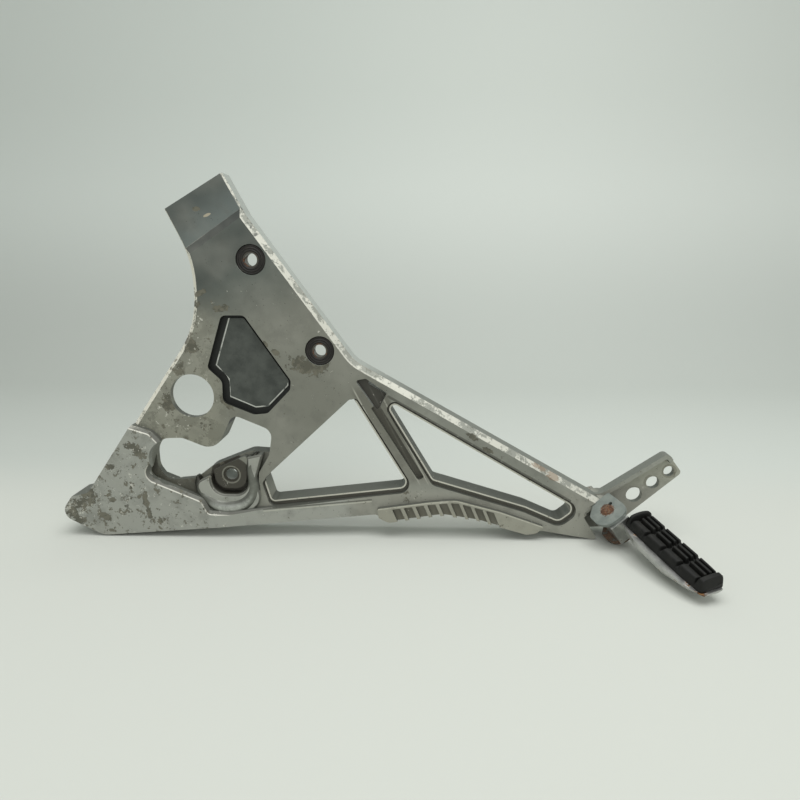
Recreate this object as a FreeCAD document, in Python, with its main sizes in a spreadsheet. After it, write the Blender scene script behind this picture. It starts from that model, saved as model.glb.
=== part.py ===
import FreeCAD, Part
import math
import os
import Sketcher
from FreeCAD import Placement, Rotation, Vector

# Motorcycle footrest hanger. Millimetres, +X towards the footrest, +Y into the back, +Z up.
# Origin on the axis of the boss bolt hole, in the plane of the casting's back. The pieces are
# drawn from the truss's front face, at y = 0, and SHIFT brings them to the origin.

SIZES = {
    "plate_depth": 18.0,
    "web_skin": 5.0,
    "edge_chamfer": 3.75,
    "left_chamfer": 3.0,
    "tab_step": 2.5,
    "tab_ramp": 5.0,
    "toe_rise": 6.0,
    "toe_slope": 2.6,
    "toe_slope_start": -10.0,
    "toe_slope_end": 103.0,
    "well_depth": 7.0,
    "well_taper": 30.0,
    "boss_drop": 1.0,
    "boss_hole_radius": 4.25,
    "boss_ring_radius": 6.0,
    "boss_ring_depth": 1.5,
    "cup_rise": 2.0,
    "cup_round": 1.9,
    "pocket_depth": 5.5,
    "pocket_taper": 12.0,
    "pocket_floor_rise": 2.2,
    "web_pocket_depth": 5.0,
    "round_hole_radius": 15.8,
    "round_hole_x": -24.0,
    "round_hole_z": 60.0,
    "lip_drop": 2.0,
    "lip_width": 1.1,
    "channel_depth": 1.8,
    "ledge_width": 4.2,
    "side_ledge_width": 2.6,
    "pad_rise": 3.5,
    "serration_depth": 3.1,
    "serration_pitch": 8.6,
    "serration_width": 6.0,
    "serration_lean": 4.2,
    "serration_first": 119.5,
    "serration_count": 9.0,
    "arm_web": 4.5,
    "arm_flange_depth": 9.0,
    "arm_flange_width": 3.2,
    "arm_flange_wrap": 0.3,
    "arm_hole_large": 5.9,
    "arm_hole_middle": 4.8,
    "arm_hole_small": 4.0,
    "grommet_seat_radius": 10.3,
    "grommet_seat_depth": 1.6,
    "grommet_bore_radius": 7.6,
    "grommet_fit": 0.1,
    "grommet_rear_flange": 2.6,
    "collar_outer_radius": 5.4,
    "collar_inner_radius": 4.3,
    "collar_set_back": 0.7,
    "collar_proud": 0.5,
    "upper_grommet_x": 24.0,
    "upper_grommet_z": 155.0,
    "lower_grommet_x": 69.0,
    "lower_grommet_z": 93.0,
    "hinge_x": 281.0,
    "hinge_y": -5.0,
    "hinge_z": -29.0,
    "hinge_yaw": -71.0,
    "hinge_pitch": 10.8,
    "hinge_roll": 38.8,
    "clevis_height": 25.0,
    "clevis_steel": 2.6,
    "clevis_back": 11.6,
    "clevis_low_side": 12.4,
    "clevis_high_side": 11.8,
    "clevis_front": 12.0,
    "clevis_corner_cut": 4.46,
    "detent_reach": 5.6,
    "detent_angle": 117.0,
    "detent_hole_radius": 1.25,
    "seat_radius": 10.5,
    "seat_length": 15.0,
    "stud_radius": 4.0,
    "stud_hole_gap": 0.3,
    "washer_radius": 8.0,
    "washer_thick": 1.6,
    "nut_across_flats": 13.0,
    "nut_height": 6.5,
    "stud_beyond_nut": 2.0,
    "pin_radius": 3.8,
    "pin_gap": 0.05,
    "pin_bore_radius": 3.84,
    "nut_bore_radius": 4.04,
    "pin_head_radius": 6.0,
    "pin_head_height": 2.4,
    "pin_proud": 0.5,
    "spring_washer_thick": 0.6,
    "knuckle_radius": 7.4,
    "knuckle_gap": 0.25,
    "detent_ball_radius": 1.4,
    "detent_spring_length": 6.0,
    "tread_turn": 30.0,
    "tread_offset": 9.2,
    "joint_height": 5.0,
    "peg_start": 13.6,
    "rubber_gap": 0.4,
    "peg_length": 72.0,
    "peg_half_width": 10.4,
    "peg_keel": 11.5,
    "peg_shelf": 3.4,
    "rubber_length": 70.0,
    "rubber_half_width": 9.7,
    "rubber_base": 3.2,
    "rubber_block": 4.4,
    "rubber_row_length": 13.6,
    "rubber_row_pitch": 15.4,
    "rubber_rows": 4.0,
    "collar_ridge": 3.2,
    "end_lip": 5.0,
}

doc = FreeCAD.newDocument("footrest_hanger")
sheet = doc.addObject("Spreadsheet::Sheet", "sizes")
for row, (alias, value) in enumerate(SIZES.items(), start=1):
    sheet.set("A%d" % row, alias)
    sheet.set("B%d" % row, str(value))
    sheet.setAlias("B%d" % row, alias)
doc.recompute()


def size(alias):
    """A driving dimension, read from the sheet."""
    return float(sheet.get(alias))


# Outlines seen from the front: each corner is x, z and its rounding radius.

PLATE = [
    (-33.0, 188.0, 0.0), (7.5, 211.0, 0.0), (21.5, 184.5, 20.0), (93.0, 85.5, 28.0),
    (274.0, -17.5, 0.0), (261.0, -30.0, 1.0), (272.5, -48.0, 1.5), (229.5, -41.0, 3.0),
    (219.0, -43.0, 5.0), (183.0, -32.5, 30.0), (157.0, -28.5, 30.0), (117.0, -35.0, 4.0),
    (107.0, -30.0, 2.0), (-98.0, -46.8, 12.0), (-129.5, -30.5, 8.0), (-119.0, -16.2, 0.0),
    (-106.0, -13.0, 8.0), (-17.5, 111.0, 70.0), (-17.5, 155.0, 70.0),
]
RIGHT_EDGE = (1, 4)
LEFT_EDGE = (15, 19)


def on_plate_edge(index, x):
    """The point at x on the line that follows a corner of the plate's outline."""
    first = PLATE[index]
    second = PLATE[(index + 1) % len(PLATE)]
    share = (x - first[0]) / (second[0] - first[0])
    return x, first[1] + share * (second[1] - first[1]), 0.0


LOBED_OPENING = [
    (-57.5, 27.8, 14.5), (-34.0, 28.5, 12.0), (-9.5, 18.5, 12.0), (4.0, 46.5, 6.0),
    (32.5, 34.5, 8.0), (29.5, 15.8, 3.5), (14.0, 16.8, 12.0), (-15.0, 5.0, 15.0),
    (-28.0, -5.0, 12.0), (-50.0, -7.5, 10.0), (-57.5, 4.0, 12.0),
]
TRIANGLE = [(91.0, 60.0, 3.0), (24.5, -2.5, 3.5), (29.5, -20.5, 3.0), (132.0, -8.0, 4.5)]
SLOT = [
    (113.0, 59.5, 3.0), (255.0, -23.5, 5.0), (243.0, -33.5, 5.0), (218.0, -22.5, 25.0),
    (149.5, -2.0, 3.5),
]
POCKET = [
    (1.0, 117.5, 4.5), (17.0, 117.5, 4.5), (47.8, 71.5, 5.0), (47.0, 65.0, 4.0),
    (30.0, 47.5, 5.0), (20.0, 46.5, 6.0), (-2.0, 55.5, 5.0), (-1.5, 71.0, 7.0),
    (-11.5, 80.5, 3.5),
]
POCKET_FLOOR_SHIFTS = [-2.2, -2.0, -2.2, -3.0, -4.2, -4.4, -4.4, -4.4, -4.2]
WEB_POCKET = [(93.5, 72.0, 1.5), (101.0, 73.5, 2.0), (116.0, 63.0, 1.5), (109.0, 49.0, 1.5)]
STRUT_GROOVE = [(104.5, 52.0, 1.0), (109.8, 55.5, 1.0), (143.0, 0.0, 1.5), (138.5, -2.5, 2.0)]
WELL = [
    (-45.0, 26.0, 3.0), (-60.0, 3.0, 5.0), (-57.0, -1.5, 5.0), (-20.5, -17.5, 3.0),
    (-16.5, -26.8, 5.0), (-5.0, -27.6, 8.0), (12.0, -23.5, 6.0), (20.0, -15.0, 5.0),
    (21.0, 2.0, 5.0), (30.0, 17.0, 2.0), (10.0, 30.0, 4.0), (-20.0, 14.0, 4.0),
]
TOE_PANEL = [
    on_plate_edge(16, -69.0), (-55.0, 34.5, 7.5), (-46.0, 24.0, 7.5), (-60.5, 2.5, 5.0),
    (-56.5, -1.8, 2.0), (-20.5, -17.4, 7.0), (-16.0, -27.0, 2.0), (-2.0, -27.6, 10.0),
    (27.0, -24.0, 0.0), (104.0, -15.6, 0.0), on_plate_edge(12, 104.0), *PLATE[13:17],
]
TOE_EDGE = (0, 8)
BOSS_FACE = [(-13.0, 3.5, 2.5), (12.8, 15.5, 2.0), (10.5, -10.8, 8.5), (-11.2, -10.8, 9.5)]
CUP_WALL = [
    (-15.0, 0.0, 1.0), (-15.0, -15.0, 11.0), (12.6, -15.0, 9.5), (13.0, 14.0, 0.5),
    (25.0, 17.0, 1.5), (19.0, -2.0, 10.0), (24.0, -26.0, 12.0), (-16.0, -32.5, 12.0),
    (-27.0, -6.0, 6.0),
]
SERRATED_PAD = [
    (108.4, -24.0, 1.5), (146.0, -18.3, 25.0), (166.0, -16.2, 25.0), (199.0, -25.0, 20.0),
    (232.0, -36.6, 1.0), on_plate_edge(7, 226.0), *PLATE[8:12], on_plate_edge(11, 109.6),
]
TAB_CREASE = (18.0, 182.0, 123.3)
GROMMETS = [(size("upper_grommet_x"), size("upper_grommet_z")),
            (size("lower_grommet_x"), size("lower_grommet_z"))]
ARM = [
    (246.0, -6.0, 0.0), (273.0, -16.5, 12.0), (321.5, 17.5, 4.0), (334.5, 1.0, 3.0),
    (287.0, -43.0, 8.0), (262.0, -44.0, 2.0),
]
ARM_HOLES = [(301.0, -17.0, "arm_hole_large"), (314.0, -7.0, "arm_hole_middle"),
             (325.0, 2.0, "arm_hole_small")]
BACK_HOLLOWS = [
    [(-12.0, 160.0, 6.0), (22.2, 176.0, 3.0), (89.0, 83.5, 3.0), (84.0, 72.0, 4.0),
     (62.0, 66.0, 4.0), (52.0, 74.0, 4.0), (20.5, 122.5, 4.0), (-2.0, 123.0, 5.0),
     (-12.0, 133.0, 6.0)],
    [(38.0, 44.0, 4.0), (52.0, 58.0, 4.0), (76.0, 56.5, 4.0), (38.0, 20.0, 3.0)],
    [(-78.0, 17.0, 4.0), (-72.0, 17.0, 4.0), (-71.0, -6.0, 6.0), (-28.0, -25.0, 4.0),
     (-26.0, -38.0, 3.0), (-100.0, -44.0, 5.0), (-121.0, -32.0, 5.0), (-106.0, -21.0, 5.0)],
    [(40.0, -24.0, 2.0), (110.0, -16.0, 2.0), (110.0, -26.0, 2.0), (40.0, -31.0, 2.0)],
    [(104.0, 74.0, 2.0), (240.0, -3.2, 2.0), (238.0, -8.0, 2.0), (102.0, 69.0, 2.0)],
    [(-66.0, 31.0, 3.0), (-63.5, 38.5, 4.0), (-24.5, 91.0, 5.0), (-15.5, 83.0, 3.0),
     (-5.8, 73.0, 3.0), (-6.0, 50.0, 3.0), (-9.5, 24.0, 3.0), (-34.0, 21.0, 3.0)],
]
WELL_BACK = [
    (-64.5, 25.0, 3.0), (-64.5, -1.0, 4.0), (-24.0, -18.5, 3.0), (-16.5, -9.0, 3.0),
    (-17.5, 9.0, 3.0), (-40.0, 20.0, 3.0),
]


def unit(x, z):
    length = math.hypot(x, z)
    return x / length, z / length


def tagged_pieces(corners):
    """Tangent arcs and lines of a closed outline: arc i rounds corner i, line i follows it."""
    ends = []
    count = len(corners)
    for index, (x, z, radius) in enumerate(corners):
        before = corners[index - 1]
        after = corners[(index + 1) % count]
        back = unit(before[0] - x, before[1] - z)
        ahead = unit(after[0] - x, after[1] - z)
        if radius == 0.0:
            ends.append(((x, z), None, (x, z)))
            continue
        half = math.acos(max(-1.0, min(1.0, back[0] * ahead[0] + back[1] * ahead[1]))) / 2.0
        reach = radius / math.tan(half)
        middle = unit(back[0] + ahead[0], back[1] + ahead[1])
        lift = radius / math.sin(half) - radius
        start = (x + back[0] * reach, z + back[1] * reach)
        stop = (x + ahead[0] * reach, z + ahead[1] * reach)
        ends.append((start, (x + middle[0] * lift, z + middle[1] * lift), stop))
    pieces = []
    for index, (start, inner, stop) in enumerate(ends):
        if inner is not None:
            arc = Part.Arc(Vector(*start, 0), Vector(*inner, 0), Vector(*stop, 0))
            pieces.append(("arc", index, arc))
        onward = ends[(index + 1) % count][0]
        if math.dist(stop, onward) > 1e-6:
            pieces.append(("line", index, Part.LineSegment(Vector(*stop, 0), Vector(*onward, 0))))
    return pieces


def rounded(corners):
    """The closed outline's geometry, in corner order."""
    return [piece for _, _, piece in tagged_pieces(corners)]


def moved_sides(corners, shifts):
    """The outline with each side moved outwards by its own distance, its corners rounder."""
    count = len(corners)
    area = sum(corners[i - 1][0] * corners[i][1] - corners[i][0] * corners[i - 1][1]
               for i in range(count))
    side = 1.0 if area > 0 else -1.0
    result = []
    for index, (x, z, radius) in enumerate(corners):
        before = corners[index - 1]
        after = corners[(index + 1) % count]
        first = unit(x - before[0], z - before[1])
        second = unit(after[0] - x, after[1] - z)
        near = shifts[index - 1]
        onward = shifts[index]
        turn = first[0] * second[1] - first[1] * second[0]
        moved = (x + side * (onward * first[0] - near * second[0]) / turn,
                 z + side * (onward * first[1] - near * second[1]) / turn)
        growth = (near + onward) / 2.0
        result.append((*moved, max(0.2, radius + growth if turn * side > 0 else radius - growth)))
    return result


def grown(corners, distance):
    """The outline moved outwards by one distance on every side."""
    return moved_sides(corners, [distance] * len(corners))


def add_body(name, placement=None):
    body = doc.addObject("PartDesign::Body", name)
    body.Label = name
    if placement is not None:
        body.Placement = placement
    return body


def add_sketch(body, name, role, offset=None):
    """A sketch on one of the body's own origin planes, moved along its normal."""
    sketch = body.newObject("Sketcher::SketchObject", name)
    plane = [item for item in body.Origin.OriginFeatures if item.Role == role][0]
    sketch.AttachmentSupport = (plane, "")
    sketch.MapMode = "FlatFace"
    if offset is not None:
        sketch.setExpression(".AttachmentOffset.Base.z", offset)
    return sketch


def add_circle(sketch, x, z, alias):
    """A circle whose radius is bound to a cell of the sheet."""
    index = sketch.addGeometry(Part.Circle(Vector(x, z, 0), Vector(0, 0, 1), size(alias)), False)
    constraint = sketch.addConstraint(Sketcher.Constraint("Radius", index, size(alias)))
    sketch.setExpression("Constraints[%d]" % constraint, "sizes.%s" % alias)


def add_feature(body, kind, name, sketch, length, reverse=False, taper=None):
    """A pad or a pocket whose length and taper are bound to the sheet."""
    feature = body.newObject("PartDesign::" + kind, name)
    feature.Profile = sketch
    feature.setExpression("Length", length)
    feature.Reversed = reverse
    if taper is not None:
        feature.setExpression("TaperAngle", taper)
    sketch.Visibility = False
    return feature


def front_feature(body, kind, name, outlines, length, depth="0", reverse=False, taper=None):
    """A pad or pocket drawn from the front, on the plane at a depth behind the front face."""
    sketch = add_sketch(body, name + "_outline", "XZ_Plane", "-(%s)" % depth)
    for corners in outlines:
        sketch.addGeometry(rounded(corners), False)
    return add_feature(body, kind, name, sketch, length, reverse, taper)


def edges_near(shape, points, level):
    """Names of the edges that lie on a level plane and pass through any of the points."""
    names = []
    for number, edge in enumerate(shape.Edges, start=1):
        middle = edge.valueAt((edge.FirstParameter + edge.LastParameter) / 2.0)
        if abs(middle.y - level) > 0.01 or abs(edge.BoundBox.YLength) > 0.01:
            continue
        if any((middle - point).Length < 0.05 for point in points):
            names.append("Edge%d" % number)
    return names


def run_middles(corners, first, last, level):
    """Middles of the outline's lines and arcs between two of its sharp corners."""
    middles = []
    for kind, index, piece in tagged_pieces(corners):
        if index < first or index >= last or (kind == "arc" and index == first):
            continue
        centre = piece.value((piece.FirstParameter + piece.LastParameter) / 2.0)
        middles.append(Vector(centre.x, level, centre.y))
    return middles


def chamfer(body, name, base, points, level, alias):
    names = edges_near(base.Shape, points, level)
    feature = body.newObject("PartDesign::Chamfer", name)
    feature.Base = (base, names)
    feature.setExpression("Size", "sizes." + alias)
    return feature


def hinge_placement():
    """The footrest's hinge: x out along the footrest, z along the pivot pin."""
    turn = Rotation(Vector(0, 0, 1), size("hinge_yaw"))
    turn = turn * Rotation(Vector(0, 1, 0), size("hinge_pitch"))
    turn = turn * Rotation(Vector(1, 0, 0), size("hinge_roll"))
    return Placement(Vector(size("hinge_x"), size("hinge_y"), size("hinge_z")), turn)


def tread_placement():
    """The footrest's tread: x out along the footrest, z out of the tread."""
    turn = Rotation(Vector(1, 0, 0), -size("tread_turn"))
    tread = Placement(Vector(0, 0, 0), turn)
    shift = Placement(Vector(0, size("tread_offset"), 0), Rotation())
    return hinge_placement() * tread * shift


SHIFT = Placement(Vector(0, -size("plate_depth"), 0), Rotation())
CAST_HINGE = hinge_placement()
HINGE = SHIFT * CAST_HINGE
TREAD = SHIFT * tread_placement()


def cross_profile(body, name, x, z, degrees, corners):
    """A sketch seen along a line of the front view: first axis along it, second to the front."""
    sketch = add_sketch(body, name, "XZ_Plane")
    turn = Rotation(Vector(0, 0, 1), degrees) * Rotation(Vector(1, 0, 0), 90)
    sketch.AttachmentOffset = Placement(Vector(x, z, 0), turn)
    sketch.addGeometry(rounded(corners), False)
    return sketch


def add_plate(body):
    plate = front_feature(body, "Pad", "plate", [PLATE], "sizes.plate_depth", reverse=True)
    doc.recompute()
    right = run_middles(PLATE, *RIGHT_EDGE, 0.0)
    edge = chamfer(body, "right_chamfer", plate, right, 0.0, "edge_chamfer")
    doc.recompute()
    left = run_middles(PLATE, *LEFT_EDGE, 0.0)
    chamfer(body, "left_edge_chamfer", edge, left, 0.0, "left_chamfer")
    doc.recompute()


def add_toe_panel(body):
    """The raised toe panel, whose face runs down to the truss's level along the lower beam."""
    root = "sizes.left_chamfer + 1"
    toe = front_feature(body, "Pad", "toe_panel", [TOE_PANEL], "sizes.toe_rise + " + root,
                        depth=root)
    doc.recompute()
    inner = run_middles(TOE_PANEL, *TOE_EDGE, -size("toe_rise"))
    chamfer(body, "toe_chamfer", toe, inner, -size("toe_rise"), "toe_slope")
    doc.recompute()
    slope = add_sketch(body, "toe_fall_outline", "XY_Plane", "-80")
    start = (size("toe_slope_start"), -size("toe_rise"))
    stop = (size("toe_slope_end"), 0.0)
    spare = 5.0
    corners = [(*start, 0.0), (*stop, 0.0), (stop[0] + spare, 0.0, 0.0),
               (stop[0] + spare, start[1] - spare, 0.0), (start[0], start[1] - spare, 0.0)]
    slope.addGeometry(rounded(corners), False)
    add_feature(body, "Pocket", "toe_fall", slope, "160", reverse=True)
    doc.recompute()


def add_tab_step(body):
    """The tab at the top, set back behind a short ramp."""
    step = size("tab_step")
    ramp = size("tab_ramp")
    front = 20.0
    corners = [(0.0, 0.0, 0.0), (ramp, -step, 0.0), (front * 5.0, -step, 0.0),
               (front * 5.0, front, 0.0), (0.0, front, 0.0)]
    sketch = cross_profile(body, "tab_step_outline", *TAB_CREASE, corners)
    cut = add_feature(body, "Pocket", "tab_step", sketch, "200")
    cut.SideType = "Symmetric"
    doc.recompute()


def add_arm(body):
    """The arm behind the footrest: a thin web with a deeper flange round its edge."""
    front_feature(body, "Pad", "arm_web", [ARM], "sizes.arm_web", depth="sizes.plate_depth")
    doc.recompute()
    width = size("arm_flange_width")
    inner = grown(ARM, -width)
    wrap = size("arm_flange_wrap")
    outer_end = [ARM[2][i] + wrap * (ARM[3][i] - ARM[2][i]) for i in (0, 1)]
    inner_end = [inner[2][i] + wrap * (inner[3][i] - inner[2][i]) for i in (0, 1)]
    flange = [ARM[0], ARM[1], ARM[2], (*outer_end, 0.0), (*inner_end, 0.0),
              (inner[2][0], inner[2][1], 1.5), (inner[1][0], inner[1][1], ARM[1][2]),
              (ARM[0][0], ARM[0][1] - width - 2.0, 0.0)]
    front_feature(body, "Pad", "arm_flange", [flange], "sizes.arm_flange_depth",
                  depth="sizes.plate_depth")
    doc.recompute()


def add_serrations(body):
    """Slanted grooves side by side in the raised pad under the truss."""
    grooves = []
    for number in range(int(size("serration_count"))):
        left = size("serration_first") + number * size("serration_pitch")
        grooves.append(groove_outline(left, SERRATED_PAD[:4]))
    front_feature(body, "Pocket", "serrations", grooves, "sizes.serration_depth",
                  depth="-sizes.pad_rise")
    doc.recompute()


def line_height(x, line):
    """Height of a broken line at x."""
    for first, second in zip(line, line[1:]):
        if x <= second[0]:
            share = (x - first[0]) / (second[0] - first[0])
            return first[1] + share * (second[1] - first[1])
    return line[-1][1]


def groove_outline(left, top_line):
    """One slanted groove, from just under the pad's upper edge out through its lower edge."""
    rim = 2.0
    reach = 24.0
    lean = size("serration_lean") / 10.0
    right = left + size("serration_width")
    left_top = line_height(left, top_line) - rim
    right_top = line_height(right, top_line) - rim
    return [(left, left_top, 0.5), (right, right_top, 0.5),
            (right + reach * lean, right_top - reach, 0.0),
            (left + reach * lean, left_top - reach, 0.0)]


def add_recesses(body):
    """The well and cup round the boss, the dark pocket, and the small pocket in the truss."""
    front_feature(body, "Pocket", "well", [WELL], "sizes.well_depth", taper="sizes.well_taper")
    doc.recompute()
    floor = "sizes.well_depth + 1"
    front_feature(body, "Pad", "boss", [BOSS_FACE], floor + " - sizes.boss_drop", depth=floor)
    doc.recompute()
    cup = front_feature(body, "Pad", "cup_wall", [CUP_WALL], floor + " + sizes.cup_rise",
                        depth=floor)
    doc.recompute()
    crest = run_middles(CUP_WALL, 0, len(CUP_WALL), -size("cup_rise"))
    crest_round = body.newObject("PartDesign::Fillet", "cup_round")
    crest_round.Base = (cup, edges_near(cup.Shape, crest, -size("cup_rise")))
    crest_round.setExpression("Radius", "sizes.cup_round")
    doc.recompute()
    front_feature(body, "Pocket", "dark_pocket", [POCKET], "sizes.pocket_depth",
                  taper="sizes.pocket_taper")
    doc.recompute()
    front_feature(body, "Pad", "pocket_floor", [moved_sides(POCKET, POCKET_FLOOR_SHIFTS)],
                  "sizes.pocket_floor_rise + 1", depth="sizes.pocket_depth + 1")
    doc.recompute()
    front_feature(body, "Pocket", "web_pocket", [WEB_POCKET], "sizes.web_pocket_depth")
    doc.recompute()


def add_openings(body):
    """The openings and holes right through, and the stepped ledge round the truss's two."""
    wide = size("ledge_width")
    narrow = size("side_ledge_width")
    lip = size("lip_width")
    outers = [moved_sides(TRIANGLE, [-lip, narrow, wide, narrow]),
              moved_sides(SLOT, [narrow, wide, wide, wide, narrow])]
    lips = [moved_sides(TRIANGLE, [-lip * 2.0, lip, lip, lip]), grown(SLOT, lip)]
    front_feature(body, "Pocket", "ledges", outers, "20 + sizes.lip_drop", depth="-20")
    doc.recompute()
    front_feature(body, "Pocket", "channels", outers + lips + [STRUT_GROOVE],
                  "sizes.lip_drop + sizes.channel_depth")
    doc.recompute()
    sketch = add_sketch(body, "openings_outline", "XZ_Plane", "20")
    for corners in (TRIANGLE, SLOT, LOBED_OPENING):
        sketch.addGeometry(rounded(corners), False)
    add_circle(sketch, size("round_hole_x"), size("round_hole_z"), "round_hole_radius")
    add_circle(sketch, 0.0, 0.0, "boss_hole_radius")
    for x, z in GROMMETS:
        add_circle(sketch, x, z, "grommet_bore_radius")
    for x, z, alias in ARM_HOLES:
        add_circle(sketch, x, z, alias)
    add_feature(body, "Pocket", "openings", sketch, "80")
    doc.recompute()


def add_back(body):
    """The hollow back, which leaves a rim, ribs and a skin of even thickness."""
    front_feature(body, "Pocket", "back_hollows", BACK_HOLLOWS,
                  "sizes.plate_depth - sizes.web_skin", depth="sizes.plate_depth", reverse=True)
    doc.recompute()


def add_pocket_back(body):
    """The shallower hollows, which leave the same skin behind the dark pocket and the well."""
    front_feature(body, "Pocket", "well_back", [WELL_BACK],
                  "sizes.plate_depth - sizes.web_skin - sizes.well_depth",
                  depth="sizes.plate_depth", reverse=True)
    doc.recompute()
    front_feature(body, "Pocket", "pocket_back", [grown(POCKET, -3.0)],
                  "sizes.plate_depth - sizes.web_skin - sizes.pocket_depth",
                  depth="sizes.plate_depth", reverse=True)
    doc.recompute()


def add_seats(body):
    """The ring round the boss's bolt hole, and the two grommet seats."""
    ring = add_sketch(body, "boss_ring_outline", "XZ_Plane", "20")
    add_circle(ring, 0.0, 0.0, "boss_ring_radius")
    add_feature(body, "Pocket", "boss_ring", ring, "20 + sizes.boss_drop + sizes.boss_ring_depth")
    seats = add_sketch(body, "grommet_seats_outline", "XZ_Plane", "20")
    for x, z in GROMMETS:
        add_circle(seats, x, z, "grommet_seat_radius")
    add_feature(body, "Pocket", "grommet_seats", seats, "20 + sizes.grommet_seat_depth")
    doc.recompute()


def add_clevis_seat(blank):
    """The blank with the clevis's round seat, cut clear of the clevis and its stud."""
    seat = doc.addObject("Part::Cylinder", "clevis_seat")
    seat.setExpression("Radius", "sizes.seat_radius")
    seat.setExpression("Height", "sizes.seat_length")
    turn = Placement(Vector(-size("clevis_back"), 0, 0), Rotation(Vector(0, 1, 0), -90))
    seat.Placement = CAST_HINGE * turn
    hole = doc.addObject("Part::Cylinder", "stud_hole")
    hole.setExpression("Radius", "sizes.stud_radius + sizes.stud_hole_gap")
    hole.setExpression("Height", "sizes.seat_length + 10")
    hole.Placement = CAST_HINGE * turn * Placement(Vector(0, 0, -5), Rotation())
    joined = doc.addObject("Part::Fuse", "blank_with_seat")
    joined.Base = blank
    joined.Tool = seat
    room = doc.addObject("Part::Box", "clevis_room")
    room.setExpression("Length", "sizes.clevis_back + 30")
    room.setExpression("Width", "sizes.clevis_low_side + sizes.clevis_high_side + 1")
    room.setExpression("Height", "sizes.clevis_height + 1")
    low = Vector(-size("clevis_back"), -size("clevis_low_side") - 0.5,
                 -size("clevis_height") / 2.0 - 0.5)
    room.Placement = CAST_HINGE * Placement(low, Rotation())
    nut_room = doc.addObject("Part::Cylinder", "nut_room")
    nut_room.setExpression("Radius", "sizes.washer_radius + 1")
    nut_room.setExpression("Height", "sizes.seat_length")
    nut_room.Placement = CAST_HINGE * turn * Placement(Vector(0, 0, size("seat_length")), Rotation())
    rooms = doc.addObject("Part::Fuse", "clevis_rooms")
    rooms.Base = room
    rooms.Tool = nut_room
    cleared = doc.addObject("Part::Cut", "blank_cleared")
    cleared.Base = joined
    cleared.Tool = rooms
    drilled = doc.addObject("Part::Cut", "blank_drilled")
    drilled.Base = cleared
    drilled.Tool = hole
    doc.recompute()
    return drilled


def make_casting():
    """The cast hanger: plate, truss, toe panel, serrated pad, boss, and three-hole arm."""
    blank = add_body("casting_blank")
    add_plate(blank)
    add_toe_panel(blank)
    add_tab_step(blank)
    add_arm(blank)
    front_feature(blank, "Pad", "serrated_pad", [SERRATED_PAD], "sizes.pad_rise")
    doc.recompute()
    body = add_body("hanger_casting", SHIFT)
    body.BaseFeature = add_clevis_seat(blank)
    add_serrations(body)
    add_recesses(body)
    add_openings(body)
    add_back(body)
    add_pocket_back(body)
    add_seats(body)
    return body


def add_revolved(name, placement, profile):
    """A turned piece: a profile of radius and height turned about the placement's z axis."""
    body = add_body(name, placement)
    sketch = add_sketch(body, name + "_profile", "XZ_Plane")
    sketch.addGeometry(rounded(profile), False)
    turned = body.newObject("PartDesign::Revolution", name + "_turned")
    turned.Profile = sketch
    turned.ReferenceAxis = (sketch, ["V_Axis"])
    turned.Angle = 360.0
    doc.recompute()
    return body


def into_plate(x, z):
    """A placement whose z axis runs from the front face into the plate."""
    return SHIFT * Placement(Vector(x, 0, z), Rotation(Vector(1, 0, 0), -90))


def make_grommet(name, x, z):
    """A rubber grommet: a flange in its seat, a waist through the skin, a flange behind."""
    fit = size("grommet_fit")
    bore = size("collar_outer_radius")
    flange = size("grommet_seat_radius") - fit
    waist = size("grommet_bore_radius") - fit
    seat = size("grommet_seat_depth")
    skin = size("web_skin") + fit
    rear = skin + size("grommet_rear_flange")
    bevel = 0.9
    profile = [(bore, 0.0, 0.0), (flange - bevel, 0.0, 0.0), (flange, seat - fit * 0.5, 0.0),
               (waist, seat - fit * 0.5, 0.0), (waist, skin, 0.0), (flange, skin, 0.0),
               (flange, rear, 0.0), (bore, rear, 0.0)]
    return add_revolved(name, into_plate(x, z), profile)


def make_collar(name, x, z):
    """The steel sleeve that stops the screw from crushing the rubber."""
    inner = size("collar_inner_radius")
    outer = size("collar_outer_radius")
    front = size("collar_set_back")
    rear = size("web_skin") + size("grommet_rear_flange") + size("collar_proud")
    profile = [(inner, front, 0.0), (outer, front, 0.0), (outer, rear, 0.0), (inner, rear, 0.0)]
    return add_revolved(name, into_plate(x, z), profile)


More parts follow.
